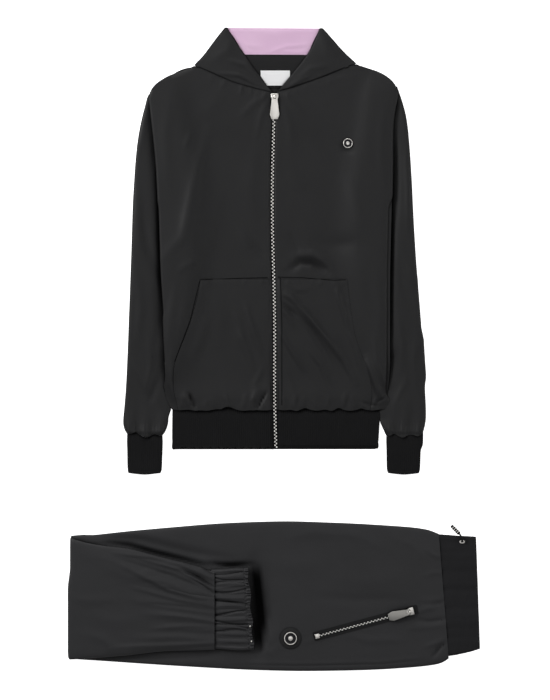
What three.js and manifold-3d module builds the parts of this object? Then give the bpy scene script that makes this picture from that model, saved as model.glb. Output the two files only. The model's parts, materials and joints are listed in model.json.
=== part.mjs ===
// A hooded zip jacket laid on its back and a pair of folded trousers below it, as one set.
// Millimetres, +X to the right, +Y up the jacket, +Z up from the surface that the set lies on.
import * as THREE from "three";
import { mergeVertices } from "three/addons/utils/BufferGeometryUtils.js";
import Module from "manifold-3d";

// Cloth walls and the gaps between pieces.
const NYLON = 2;
const KNIT = 2.6;
const TRIM = 1.2;
const LABEL = 0.8;
const SEAM = 0.5;
const LAYER = 0.4;

// Jacket frame: x from the centre front, y up from the lower edge of the hem rib.
const JACKET_AT = { x: 0, y: -181 };
// Trousers frame: x from the knee fold along the leg, y up from the outer seam.
const TROUSERS_AT = { x: -371, y: -579 };

// Heights of the jacket's layers above the surface.
const SLEEVE_HEIGHT = 8;
const SLEEVE_RISE = 8.6;
const RISE_WIDTH = 46;
const RISE_AHEAD = 8;
const FRONT_OVER_BACK = 4;
const FLAP_LIFT = 2.4;

// The jacket's zip, from the slider down to the hem.
const ZIP_LINE = [
  { y: 652, x: 1 },
  { y: 539, x: -3 },
  { y: 431, x: -4 },
  { y: 359, x: -3 },
  { y: 246, x: 0 },
  { y: 104, x: 0 },
  { y: -6, x: 2 },
];
const CHAIN_HALF = 3;
const TAPE_HALF = 12;

// Hidden inner edge of each sleeve, as a distance from the centre front.
const SLEEVE_INNER = [
  { y: 720, x: 190 },
  { y: 640, x: 188 },
  { y: 575, x: 179 },
  { y: 485, x: 164 },
  { y: 413, x: 161 },
  { y: 327, x: 164 },
  { y: 240, x: 178 },
  { y: 155, x: 199 },
  { y: 60, x: 215 },
];

// Front panels: one row for each section, with the x of the side edge, the lines that run down the
// panel, and the edge along the zip. The first row is the shoulder and neck edge and has its own y.
const FRONT_TOP_LEFT = {
  side: [-226, 640], cap: [-213, 658], shoulder: [-188, 672.5],
  pocket: [-144, 689], middle: [-72, 657], zip: [-3, 639],
};
const FRONT_TOP_RIGHT = {
  side: [224, 643], cap: [212, 664], shoulder: [190, 678],
  pocket: [147, 692], middle: [70, 661], zip: [5, 641],
};
const FRONT_LEFT_ROWS = [
  { y: 590, side: -221, shoulder: -186, pocket: -140, middle: -72 },
  { y: 520, side: -213.5, shoulder: -180, pocket: -136, middle: -72 },
  { y: 430, side: -209, shoulder: -174, pocket: -133, middle: -71 },
  { y: 360, side: -207, shoulder: -171, pocket: -132, middle: -70 },
  { y: 306, side: -205, shoulder: -168, pocket: -132, middle: -70 },
  { y: 253, side: -201, shoulder: -171, pocket: -143, middle: -72 },
  { y: 200, side: -199, shoulder: -180, pocket: -161, middle: -78 },
  { y: 154, side: -196.5, shoulder: -188, pocket: -179, middle: -86 },
  { y: 108, side: -194, shoulder: -187, pocket: -180, middle: -88 },
  { y: 73, side: -184, shoulder: -178, pocket: -172, middle: -84 },
];
const FRONT_RIGHT_ROWS = [
  { y: 590, side: 214, shoulder: 182, pocket: 142, middle: 70 },
  { y: 520, side: 213.5, shoulder: 178, pocket: 136, middle: 70 },
  { y: 430, side: 212, shoulder: 174, pocket: 132, middle: 69 },
  { y: 360, side: 210, shoulder: 172, pocket: 131, middle: 69 },
  { y: 306, side: 209, shoulder: 171, pocket: 131, middle: 70 },
  { y: 253, side: 209, shoulder: 173, pocket: 137, middle: 72 },
  { y: 200, side: 209, shoulder: 178, pocket: 146, middle: 76 },
  { y: 154, side: 209, shoulder: 186, pocket: 163, middle: 84 },
  { y: 108, side: 207.5, shoulder: 191, pocket: 175, middle: 90 },
  { y: 73, side: 195, shoulder: 183, pocket: 171, middle: 88 },
];
const FRONT_RAILS = ["side", "cap", "shoulder", "pocket", "middle", "zip"];
const FRONT_ACROSS = [1, 1, 3, 3, 4];
const FRONT_ALONG = [2, 2, 3, 2, 2, 2, 3, 2, 3, 3];
const POCKET_ROW = 5;
const POCKET_RAIL = 3;

// Creases of the fronts: a soft ridge, or a trough where high is negative, from one point to another.
const FRONT_FOLDS = [
  { from: [-129, 539], to: [-158, 395], wide: 16, high: 2.2 },
  { from: [-158, 395], to: [-190, 346], wide: 15, high: 1.8 },
  { from: [-148, 572], to: [-159, 546], wide: 9, high: 1.2 },
  { from: [-37, 366], to: [-19, 345], wide: 9, high: -1.2 },
  { from: [-51, 271], to: [-30, 201], wide: 9, high: 1.4 },
  { from: [-62, 201], to: [-46, 143], wide: 8, high: 1.2 },
  { from: [-120, 500], to: [-150, 330], wide: 22, high: 1.2 },
  { from: [26, 615], to: [36, 560], wide: 14, high: 1.0 },
  { from: [29, 386], to: [44, 356], wide: 9, high: -1.2 },
  { from: [84, 378], to: [145, 360], wide: 15, high: -1.5 },
  { from: [29, 323], to: [55, 336], wide: 9, high: 1.8 },
  { from: [55, 336], to: [87, 312], wide: 9, high: 1.6 },
  { from: [93, 334], to: [104, 307], wide: 8, high: 1.6 },
  { from: [19, 282], to: [50, 244], wide: 10, high: 1.8 },
  { from: [50, 244], to: [93, 201], wide: 10, high: 2.4 },
  { from: [93, 201], to: [145, 116], wide: 10, high: 2.4 },
  { from: [10, 195], to: [55, 138], wide: 9, high: 1.6 },
  { from: [114, 285], to: [134, 195], wide: 7, high: 1.2 },
  { from: [163, 165], to: [170, 100], wide: 7, high: -1.3 },
  { from: [167, 165], to: [196, 96], wide: 8, high: 2.2 },
  { from: [122, 540], to: [100, 515], wide: 8, high: 0.9 },
];
// Gathers just above the hem rib: x of each, its width and height.
const HEM_GATHERS = [
  { x: -165, wide: 7, high: 1.2 },
  { x: -147, wide: 6, high: 1.8 },
  { x: -118, wide: 8, high: 1.2 },
  { x: -92, wide: 7, high: 1.6 },
  { x: -66, wide: 7, high: 1.1 },
  { x: -43, wide: 7, high: 1.4 },
  { x: -22, wide: 6, high: 1.7 },
  { x: 20, wide: 6, high: 1.4 },
  { x: 44, wide: 8, high: 1.5 },
  { x: 72, wide: 7, high: 1.1 },
  { x: 98, wide: 7, high: 1.7 },
  { x: 126, wide: 8, high: 1.3 },
  { x: 152, wide: 7, high: 1.8 },
  { x: 178, wide: 6, high: 1.4 },
];
const HEM_GATHER_TOP = 118;
const HEM_GATHER_FOOT = 73;
// The fronts blouse over the hem rib, and lie calm beside the zip.
const BLOUSE = { y: 96, wide: 20, high: 2.2 };
const ZIP_CALM = { from: 6, over: 16 };
// Side edges of the fronts are eased down over this width.
const SIDE_EASE = { wide: 14, drop: 1.1 };

// Sleeves: outer and inner edge of each section, from the armhole down to the cuff seam.
const SLEEVE_LEFT = [
  { outer: [-224, 651], inner: [-184, 600] },
  { outer: [-238, 600], inner: [-178, 560] },
  { outer: [-247, 555], inner: [-170, 515] },
  { outer: [-252, 500], inner: [-163, 455] },
  { outer: [-256, 413], inner: [-160, 390] },
  { outer: [-258.5, 327], inner: [-163, 315] },
  { outer: [-262, 240], inner: [-176, 236] },
  { outer: [-265, 154], inner: [-198, 152] },
  { outer: [-268, 100], inner: [-196.5, 98] },
  { outer: [-271, 68], inner: [-190, 66] },
  { outer: [-273, 50], inner: [-189.5, 49] },
  { outer: [-271, 38], inner: [-193, 37] },
  { outer: [-266, 30], inner: [-200, 29] },
];
const SLEEVE_RIGHT = [
  { outer: [221, 654], inner: [184, 600] },
  { outer: [237, 606], inner: [178, 560] },
  { outer: [243, 560], inner: [170, 515] },
  { outer: [247, 490], inner: [163, 455] },
  { outer: [251, 413], inner: [160, 390] },
  { outer: [256, 327], inner: [163, 315] },
  { outer: [264, 240], inner: [176, 236] },
  { outer: [269, 154], inner: [211, 152] },
  { outer: [272, 100], inner: [209.5, 98] },
  { outer: [273.5, 68], inner: [199, 66] },
  { outer: [273, 50], inner: [192, 49] },
  { outer: [270, 38], inner: [195, 37] },
  { outer: [266, 29], inner: [200, 28] },
];
const CUFF_LEFT = [
  { outer: [-265.5, 29.6], inner: [-200.5, 28.6] },
  { outer: [-264.2, 5], inner: [-201, 4] },
  { outer: [-264, -20], inner: [-202, -20] },
  { outer: [-263.6, -37], inner: [-202.6, -37] },
  { outer: [-261.4, -41.5], inner: [-205, -41.5] },
];
const CUFF_RIGHT = [
  { outer: [265.5, 28.6], inner: [200.5, 27.6] },
  { outer: [262.5, 4], inner: [202, 4] },
  { outer: [262, -20], inner: [202, -20] },
  { outer: [261.6, -37], inner: [202.6, -37] },
  { outer: [259.4, -41.5], inner: [205, -41.5] },
];
const SLEEVE_GATHERS = 3;
const SLEEVE_GATHER_HIGH = 1.3;
const SLEEVE_GATHER_TOP = 84;
const SLEEVE_GATHER_LONG = 50;

// Hem rib: upper and lower edge of each front half.
const HEM_LEFT = [
  { y: 72.4, side: -183, zip: -3 },
  { y: 40, side: -183.5, zip: -2 },
  { y: 9, side: -184, zip: -1 },
  { y: 0.5, side: -180, zip: -1 },
];
const HEM_RIGHT = [
  { y: 72.4, side: 190.5, zip: 4 },
  { y: 40, side: 189, zip: 5 },
  { y: 9, side: 187, zip: 5 },
  { y: 2.5, side: 183, zip: 5 },
];

// The back of the hood narrows from the neck to the fold at its top, and its flap ends under the neck.
const HOOD_NECK = { y: 692, half: 140, centre: 2 };
const HOOD_FOLD = { y: 758, half: 86, centre: -1, axis: 754 };
const HOOD_FLAP_END = 612;
// Hood sides: a row for each section from the peak to the neck seam, and the swell of their middle.
const HOOD_CROWN = 2.2;
const HOOD_LEFT = [
  { out: [-89, 758], first: [-87, 758], second: [-85.5, 758], open: [-84, 757] },
  { out: [-105, 738], first: [-94, 737], second: [-83, 735], open: [-71, 734] },
  { out: [-125, 711], first: [-100, 710], second: [-76, 709], open: [-52, 708] },
  { out: [-139, 696], first: [-104, 689], second: [-70, 684], open: [-35, 682] },
  { out: [-144, 690], first: [-108, 674], second: [-72, 658], open: [-3, 640.3] },
];
const HOOD_RIGHT = [
  { out: [87, 757], first: [85, 757], second: [83, 757], open: [81, 756] },
  { out: [104, 738], first: [93, 736], second: [82, 735], open: [72, 733] },
  { out: [123, 716], first: [100, 711], second: [79, 709], open: [58, 708] },
  { out: [139, 701], first: [108, 692], second: [74, 686], open: [38, 682] },
  { out: [147.5, 693.2], first: [108.5, 677.8], second: [70, 662.4], open: [5, 642.4] },
];

// Round badge on the chest, and the zip's metal.
const CHEST_BADGE = { x: 132, y: 550, radius: 8.5, thick: 2.4 };
const SLIDER = { width: 13.5, length: 13, thick: 2.8, y: 633 };
const PULL = { length: 40, wide: 17, neck: 10, thick: 1.6, slot: 6.4 };
const PULL_DROOP = 0.085;
const ARCH = { width: 3.6, inside: 3.4, bar: 1.6 };

// Trousers: heights of the stacked layers.
const THIGH_STACK = 10;
const SHIN_STACK = 6.4;
const THIGH_TOP = THIGH_STACK + LAYER + NYLON;
const SHIN_BASE = THIGH_TOP + LAYER;
const SHIN_TOP = SHIN_BASE + SHIN_STACK + LAYER + NYLON;

// Edges of the visible leg from the knee fold to the waist seam.
const THIGH = [
  { low: [12, 22], high: [12, 242] },
  { low: [99, 16], high: [99, 251] },
  { low: [193, 10], high: [189, 259] },
  { low: [324, 2.5], high: [288, 267] },
  { low: [400, 0.5], high: [380, 270] },
  { low: [480, 1], high: [454, 268] },
  { low: [558, 3], high: [529, 265] },
  { low: [620, 7], high: [608, 260] },
  { low: [672, 14], high: [650, 254] },
  { low: [684, 23], high: [666, 247] },
];
const WAISTBAND = [
  { low: [685, 25], high: [667, 247] },
  { low: [700, 30], high: [690, 244] },
  { low: [722, 35], high: [716, 243] },
  { low: [740, 41], high: [733, 242] },
];
// The folded-back lower leg: the path goes round the knee fold, then lies on top.
const SHIN = [
  { x: 13, z: 0, low: 27, high: 236 },
  { x: 5, z: 0.9, low: 24, high: 239 },
  { x: 1, z: 5, low: 22, high: 241 },
  { x: 0, z: 11, low: 22, high: 242 },
  { x: 1, z: 17, low: 22, high: 241 },
  { x: 5, z: 20.9, low: 22.5, high: 239.5 },
  { x: 14, z: 21.8, low: 23, high: 236 },
  { x: 60, z: 21.8, low: 26, high: 226.5 },
  { x: 112, z: 21.8, low: 30.5, high: 221 },
  { x: 162, z: 21.8, low: 36, high: 206 },
  { x: 212, z: 21.8, low: 38.5, high: 194 },
  { x: 240, z: 21.8, low: 39, high: 187 },
  { x: 264, z: 21.4, low: 40, high: 180 },
];
const SHIN_ALONG = [1, 1, 1, 1, 1, 1, 1, 2, 2, 3, 2, 2];
// Pleats that fan out of the ankle cuff's seam.
const PLEATS = [
  { from: [264, 172], to: [180, 196], wide: 5, high: 1.6 },
  { from: [264, 152], to: [150, 190], wide: 6, high: 1.8 },
  { from: [264, 136], to: [120, 180], wide: 5.5, high: 2.2 },
  { from: [264, 120], to: [65, 208], wide: 6, high: 2.4 },
  { from: [264, 106], to: [130, 130], wide: 5.5, high: 1.8 },
  { from: [264, 91], to: [149, 105], wide: 5.5, high: 2.2 },
  { from: [264, 76], to: [170, 82], wide: 5.5, high: 1.8 },
  { from: [264, 60], to: [140, 62], wide: 6, high: 1.8 },
  { from: [264, 47], to: [90, 42], wide: 5, high: 1.6 },
];
const THIGH_FOLDS = [
  { from: [648, 122], to: [676, 118], wide: 8, high: 1.6 },
  { from: [646, 91], to: [676, 91], wide: 8, high: 1.6 },
  { from: [650, 32], to: [676, 46], wide: 8, high: 1.3 },
  { from: [640, 170], to: [672, 166], wide: 8, high: 1.2 },
  { from: [625, 215], to: [668, 210], wide: 9, high: 1.3 },
  { from: [345, 28], to: [358, 76], wide: 8, high: 1.5 },
  { from: [300, 236], to: [430, 250], wide: 12, high: 1.0 },
];
const ANKLE = [
  { low: [265, 42], high: [265, 184] },
  { low: [289, 39], high: [284, 186] },
  { low: [312, 37.5], high: [306, 188] },
  { low: [334, 40], high: [324, 187] },
];
const ANKLE_HEIGHT = 8.2;
const ANKLE_GATHERS = 11;
const ANKLE_GATHER_HIGH = 1.3;

const POCKET_ZIP = { from: [448, 64], to: [622, 110.5], tape: 15, chain: 5 };
const THIGH_BADGE = { x: 400, y: 60, patch: 19, disc: 11.5 };
// End stops of the ankle's zip, sewn to the top of the cuff at its free edge.
const ANKLE_STOP = { long: 4.5, across: 4, thick: 1.4 };
const ANKLE_STOPS = [
  { x: 327.6, y: 83 },
  { x: 330, y: 56 },
];
const EYELET = { x: 708, y: 233, long: 6, across: 3.6, holeLong: 3.6, holeAcross: 1.7, thick: 1.2 };
// The drawcord's free end, from the eyelet over the edge to the surface; z is the cord's centre.
const CORD_RADIUS = 1.5;
const CORD_ROUTE = [
  { x: 708, y: 233, z: 13.1 },
  { x: 707.9, y: 233.6, z: 15.6 },
  { x: 707.4, y: 235.8, z: 18.2 },
  { x: 706.6, y: 239.2, z: 19.2 },
  { x: 705.6, y: 242.6, z: 17.6 },
  { x: 704.4, y: 245.2, z: 14.6 },
  { x: 703.2, y: 246.9, z: 12 },
];
// The bound tip carries on from the cord's last point, down to the surface.
const CORD_TIP = { radius: 3.5, from: [702.9, 247.3, 11.6], to: [689.6, 260.8, 3.35] };

// Colours of the finishes.
const FINISH = {
  nylon: { color: "#2b2b2d", roughness: 0.55, metalness: 0 },
  trouserNylon: { color: "#2f3032", roughness: 0.55, metalness: 0 },
  knit: { color: "#1b1b1c", roughness: 0.95, metalness: 0 },
  lining: { color: "#cdb0c6", roughness: 0.6, metalness: 0 },
  label: { color: "#e6e6e4", roughness: 0.7, metalness: 0 },
  tape: { color: "#1c1c1d", roughness: 0.9, metalness: 0 },
  metal: { color: "#b9b9ba", roughness: 0.3, metalness: 1 },
  patch: { color: "#19191a", roughness: 0.6, metalness: 0 },
};

const set = new THREE.Group();
const jacket = new THREE.Group();
const trousers = new THREE.Group();
jacket.position.set(JACKET_AT.x, JACKET_AT.y, 0);
trousers.position.set(TROUSERS_AT.x, TROUSERS_AT.y, 0);
set.add(jacket, trousers);

const clamp = (value) => Math.min(1, Math.max(0, value));
const smooth = (value) => clamp(value) ** 2 * (3 - 2 * clamp(value));
const mix = (a, b, share) => a + (b - a) * share;

// Value of a smooth curve through the numbers, with t counted in rows of the table.
function through(numbers, t) {
  const row = Math.min(numbers.length - 2, Math.max(0, Math.floor(t)));
  const at = (k) => numbers[Math.min(numbers.length - 1, Math.max(0, k))];
  const [a, b, c, d] = [at(row - 1), at(row), at(row + 1), at(row + 2)];
  const s = t - row;
  const slopeIn = (c - a) / 2;
  const slopeOut = (d - b) / 2;
  const bend = 3 * (c - b) - 2 * slopeIn - slopeOut;
  const twist = slopeIn + slopeOut - 2 * (c - b);
  return b + s * (slopeIn + s * (bend + s * twist));
}

// The x of a line that is given by rows of falling y.
function lineAt(rows, y) {
  const below = rows.findIndex((row) => row.y <= y);
  if (below <= 0) return below === 0 ? rows[0].x : rows.at(-1).x;
  const share = (rows[below - 1].y - y) / (rows[below - 1].y - rows[below].y);
  return through(rows.map((row) => row.x), below - 1 + share);
}
const zipAt = (y) => lineAt(ZIP_LINE, y);

// Even steps along a table, with a number of steps for each stretch between two rows.
function steps(counts) {
  const list = [0];
  counts.forEach((count, row) => {
    for (let k = 1; k <= count; k++) list.push(row + k / count);
  });
  return list;
}

// A net of flat points from rows of [x, y] pairs: smooth along the rows, straight between the rails.
function net(rows, rails, across, along) {
  const sideways = steps(across);
  return steps(along).map((t) =>
    sideways.map((s) => {
      const rail = Math.min(rails.length - 2, Math.floor(s));
      const [left, right] = [rails[rail], rails[rail + 1]].map((name) =>
        [0, 1].map((axis) => through(rows.map((row) => row[name][axis]), t)),
      );
      return { x: mix(left[0], right[0], s - rail), y: mix(left[1], right[1], s - rail) };
    }),
  );
}

// Distance from a point to a straight crease.
function fromCrease({ from, to }, x, y) {
  const [dx, dy] = [to[0] - from[0], to[1] - from[1]];
  const along = clamp(((x - from[0]) * dx + (y - from[1]) * dy) / (dx * dx + dy * dy));
  return Math.hypot(x - from[0] - along * dx, y - from[1] - along * dy);
}

const bump = (away, wide) => Math.exp(-((away / wide) ** 2));
// Summed height of the creases at a point.
const creases = (table, x, y) =>
  table.reduce((sum, crease) => sum + crease.high * bump(fromCrease(crease, x, y), crease.wide), 0);

// A closed shape from two nets that face each other, or from an outer and an inner tube.
function closed(outer, inner, round) {
  const [rows, columns] = [outer.length, outer[0].length];
  const points = [...outer.flat(), ...inner.flat()];
  const side = rows * columns;
  const index = [];
  const quad = (a, b, c, d) => index.push(a, b, c, a, c, d);
  const spans = round ? columns : columns - 1;
  for (let j = 0; j < rows - 1; j++)
    for (let i = 0; i < spans; i++) {
      const next = (i + 1) % columns;
      const [here, above] = [j * columns, (j + 1) * columns];
      const [a, b, c, d] = [here + i, here + next, above + next, above + i];
      quad(a, b, c, d);
      quad(side + a, side + d, side + c, side + b);
    }
  const wall = (a, b) => quad(a, side + a, side + b, b);
  for (let i = 0; i < spans; i++) {
    const next = (i + 1) % columns;
    wall(i, next);
    wall((rows - 1) * columns + next, (rows - 1) * columns + i);
  }
  for (let j = 0; j < rows - 1 && !round; j++) {
    wall((j + 1) * columns, j * columns);
    wall(j * columns + columns - 1, (j + 1) * columns + columns - 1);
  }
  return solid(points, index);
}

// A geometry whose faces point out, whatever way round its triangles were listed.
function solid(points, index) {
  let volume = 0;
  for (let k = 0; k < index.length; k += 3) {
    const [a, b, c] = [0, 1, 2].map((corner) => points[index[k + corner]]);
    volume += a.x * (b.y * c.z - b.z * c.y);
    volume -= a.y * (b.x * c.z - b.z * c.x);
    volume += a.z * (b.x * c.y - b.y * c.x);
  }
  const facing = volume < 0 ? [...index].reverse() : index;
  const geometry = new THREE.BufferGeometry();
  const places = points.flatMap((p) => [p.x, p.y, p.z]);
  geometry.setAttribute("position", new THREE.Float32BufferAttribute(places, 3));
  geometry.setIndex(facing);
  geometry.computeVertexNormals();
  return geometry;
}

function piece(group, name, finish, geometry) {
  const mesh = new THREE.Mesh(geometry, new THREE.MeshStandardMaterial(FINISH[finish]));
  mesh.name = name;
  group.add(mesh);
  return mesh;
}

// The net raised to a height, and the same net moved up.
const raised = (flat, height) =>
  flat.map((row, j) => row.map((p, i) => new THREE.Vector3(p.x, p.y, height(p.x, p.y, i, j))));
const movedUp = (points, by) =>
  points.map((row) => row.map((p) => new THREE.Vector3(p.x, p.y, p.z + by)));
const sheet = (under, wall) => closed(movedUp(under, wall), under, false);

// Outward directions of a net of points in space.
function outward(points) {
  const within = (k, list) => Math.min(list.length - 1, Math.max(0, k));
  const at = (j, i) => points[within(j, points)][within(i, points[0])];
  return points.map((row, j) =>
    row.map((_, i) => {
      const along = at(j + 1, i).clone().sub(at(j - 1, i));
      const across = at(j, i + 1).clone().sub(at(j, i - 1));
      return along.cross(across).normalize();
    }),
  );
}

// How high the jacket's back lies: it rises over the tucked sleeves and over the hood's folded flap.
function backHeight(x, y) {
  const pastInner = Math.abs(x) - lineAt(SLEEVE_INNER, y);
  const overSleeve = smooth((pastInner + RISE_AHEAD + RISE_WIDTH) / RISE_WIDTH);
  const sleeve = SLEEVE_RISE * overSleeve * smooth((y - 85) / 66) * smooth((705 - y) / 60);
  const flap = FLAP_LIFT * smooth((y - 556) / 30) * smooth((185 - Math.abs(x)) / 30);
  return Math.max(sleeve, flap, 0.6 * (sleeve + flap));
}

// Gathers above the hem rib, strongest at the seam.
function hemGathers(x, y) {
  const fade = smooth((HEM_GATHER_TOP - y) / (HEM_GATHER_TOP - HEM_GATHER_FOOT));
  return fade * HEM_GATHERS.reduce((sum, g) => sum + g.high * bump(x - g.x, g.wide), 0);
}

// Underside of a front panel: over the back, eased down at the side seam, with its creases.
function frontHeight(x, y, edge) {
  const blouse = BLOUSE.high * bump(y - BLOUSE.y, BLOUSE.wide);
  const calm = smooth((Math.abs(x - zipAt(y)) - ZIP_CALM.from) / ZIP_CALM.over);
  const folds = calm * (creases(FRONT_FOLDS, x, y) + hemGathers(x, y) + blouse);
  const inside = smooth(edge / SIDE_EASE.wide);
  return backHeight(x, y) + FRONT_OVER_BACK - SIDE_EASE.drop * (1 - inside) + folds * inside;
}

function frontNet(top, rows, side) {
  const zipEdge = (y) => zipAt(y) + side * (CHAIN_HALF + SEAM);
  const table = [top, ...rows.map((row) => {
    const points = {};
    const across = { ...row, cap: mix(row.side, row.shoulder, 0.45), zip: zipEdge(row.y) };
    for (const rail of FRONT_RAILS) points[rail] = [across[rail], row.y];
    return points;
  })];
  return net(table, FRONT_RAILS, FRONT_ACROSS, FRONT_ALONG);
}

function addFront(name, top, rows, side) {
  const flat = frontNet(top, rows, side);
  const fromSide = (x, j) => Math.abs(x - flat[j][0].x);
  const under = raised(flat, (x, y, i, j) => frontHeight(x, y, fromSide(x, j)));
  piece(jacket, `front_${name}`, "nylon", sheet(under, NYLON));
  const firstRow = FRONT_ALONG.slice(0, POCKET_ROW).reduce((a, b) => a + b);
  const firstColumn = FRONT_ACROSS.slice(0, POCKET_RAIL).reduce((a, b) => a + b);
  const pocket = under.slice(firstRow).map((row) => row.slice(firstColumn, -1));
  piece(jacket, `pocket_${name}`, "nylon", sheet(movedUp(pocket, NYLON + LAYER), NYLON));
}

function addBack() {
  const section = (y, left, right) => {
    const crest = Math.min(lineAt(SLEEVE_INNER, y) - RISE_AHEAD, 180);
    const foot = crest - RISE_WIDTH;
    return { left: [left, y], leftCrest: [-crest, y], leftFoot: [-foot, y],
      rightFoot: [foot, y], rightCrest: [crest, y], right: [right, y] };
  };
  const rails = ["left", "leftCrest", "leftFoot", "rightFoot", "rightCrest", "right"];
  const rows = FRONT_LEFT_ROWS.map((row, k) =>
    section(row.y, row.side + 1.5, FRONT_RIGHT_ROWS[k].side - 1.5));
  const along = [2, 2, ...rows.slice(2).map(() => 1)];
  const flat = net([section(642, -224, 221), ...rows], rails, [1, 3, 4, 3, 1], along);
  // The top row follows the shoulder slope and the back of the neck.
  const slope = (x) => mix(688, 641, clamp((Math.abs(x) - 146) / 78) ** 1.8);
  const shoulder = (x) => (Math.abs(x) > 146 ? slope(x) : mix(676, 688, (x / 146) ** 2));
  flat[0].forEach((p) => (p.y = shoulder(p.x)));
  flat[1].forEach((p, i) => (p.y = mix(flat[0][i].y, flat[2][i].y, 0.5)));
  piece(jacket, "back", "nylon", sheet(raised(flat, backHeight), NYLON));
}

// A flattened tube: rings between an outer and an inner edge, with rounded sides and a thin hollow.
const RING_SIDE = [
  { inset: 0, up: 0.5 },
  { inset: 1.4, up: 0.86 },
  { inset: 5, up: 1 },
];
function tube(table, { along, across, height, wall, base, wave }) {
  const outer = [];
  const inner = [];
  steps(along).forEach((t) => {
    const edge = (name) => [0, 1].map((axis) => through(table.map((row) => row[name][axis]), t));
    const [from, to] = [edge("outer"), edge("inner")];
    const width = Math.hypot(to[0] - from[0], to[1] - from[1]);
    const tall = typeof height === "function" ? height(t) : height;
    const floor = base ?? 0;
    const half = [];
    const rim = RING_SIDE.at(-1).inset / width;
    RING_SIDE.forEach(({ inset, up }) => half.push({ share: inset / width, up }));
    for (let k = 1; k < across; k++) half.push({ share: mix(rim, 1 - rim, k / across), up: 1 });
    [...RING_SIDE].reverse().forEach(({ inset, up }) => half.push({ share: 1 - inset / width, up }));
    const place = (share, z, pull) => {
      const kept = mix(share, 0.5, pull);
      return new THREE.Vector3(mix(from[0], to[0], kept), mix(from[1], to[1], kept), floor + z);
    };
    const crest = half.map(({ share, up }) => {
      const rise = wave && up === 1 ? wave(share, t) : 0;
      return { share, top: up * tall + rise, low: (1 - up) * tall };
    });
    const middle = crest.slice(1, -1);
    const bottom = middle.filter((_, k) => k < 2 || k > middle.length - 3 || k % 4 === 0).reverse();
    const shrink = (wall * 2) / width;
    // The hollow stays open by this much each side of its middle.
    const open = 0.3;
    const ceiling = (c, k) =>
      (k === 0 || k === crest.length - 1 ? tall / 2 : Math.max(tall / 2 + open, c.top - wall));
    outer.push([
      ...crest.map((c) => place(c.share, c.top, 0)),
      ...bottom.map((c) => place(c.share, c.low, 0)),
    ]);
    inner.push([
      ...crest.map((c, k) => place(c.share, ceiling(c, k), shrink)),
      ...bottom.map((c) => place(c.share, Math.min(tall / 2 - open, c.low + wall), shrink)),
    ]);
  });
  return closed(outer, inner, true);
}

function addSleeve(name, table, cuff) {
  const yAt = (t) => through(table.map((row) => row.outer[1]), t);
  const wave = (share, t) => {
    const fade = smooth((SLEEVE_GATHER_TOP - yAt(t)) / SLEEVE_GATHER_LONG);
    return SLEEVE_GATHER_HIGH * fade * (1 - Math.cos(share * SLEEVE_GATHERS * 2 * Math.PI));
  };
  const height = (t) => mix(5.2, SLEEVE_HEIGHT, smooth(t / 1.2));
  const even = (rows) => rows.slice(1).map(() => 1);
  const arm = { along: even(table), across: 14, height, wall: NYLON, wave };
  const band = { along: even(cuff), across: 6, height: SLEEVE_HEIGHT, wall: KNIT };
  piece(jacket, `sleeve_${name}`, "nylon", tube(table, arm));
  piece(jacket, `cuff_${name}`, "knit", tube(cuff, band));
}

function addHem() {
  const half = (name, rows, side) => {
    const zipEdge = (y) => zipAt(y) + side * (CHAIN_HALF + SEAM);
    const table = rows.map((row) => ({ side: [row.side, row.y], zip: [zipEdge(row.y), row.y] }));
    const flat = net(table, ["side", "zip"], [12], [1, 1, 1]);
    const height = (x, y, i) => FRONT_OVER_BACK - (i === 0 ? 1.2 : 0);
    piece(jacket, `hem_rib_${name}`, "knit", sheet(raised(flat, height), KNIT));
  };
  half("left", HEM_LEFT, -1);
  half("right", HEM_RIGHT, 1);
  const rows = HEM_LEFT.map(({ side, y }, k) => ({ left: [side + 1, y], right: [HEM_RIGHT[k].side - 1, y] }));
  const flat = net(rows, ["left", "right"], [10], [1, 1, 1]);
  piece(jacket, "hem_rib_back", "knit", sheet(raised(flat, () => 0), NYLON));
}

// A narrow strip along the zip line, between two heights.
function zipStrip(name, finish, half, top, foot, low, high) {
  const beside = frontNet(FRONT_TOP_LEFT, FRONT_LEFT_ROWS, -1).map((row) => row.at(-1).y);
  const rows = [top, ...beside.filter((y) => y < top - 3), 40, foot];
  const flat = rows.map((y) => [-half, half].map((dx) => ({ x: zipAt(y) + dx, y })));
  const ride = (x, y) => low + backHeight(x, y);
  piece(jacket, name, finish, sheet(raised(flat, ride), high - low));
}

// A flat outline made solid between two heights.
function plate(outline, thick, holes = []) {
  const shape = new THREE.Shape(outline.map(([x, y]) => new THREE.Vector2(x, y)));
  for (const hole of holes) shape.holes.push(new THREE.Path(hole.map(([x, y]) => new THREE.Vector2(x, y))));
  return new THREE.ExtrudeGeometry(shape, { depth: thick, bevelEnabled: false });
}
const box = (width, length) =>
  [[-1, -1], [1, -1], [1, 1], [-1, 1]].map(([x, y]) => [(x * width) / 2, (y * length) / 2]);
const ring = (rx, ry, count) =>
  Array.from({ length: count }, (_, k) => {
    const angle = (k / count) * 2 * Math.PI;
    return [rx * Math.cos(angle), ry * Math.sin(angle)];
  });

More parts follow.
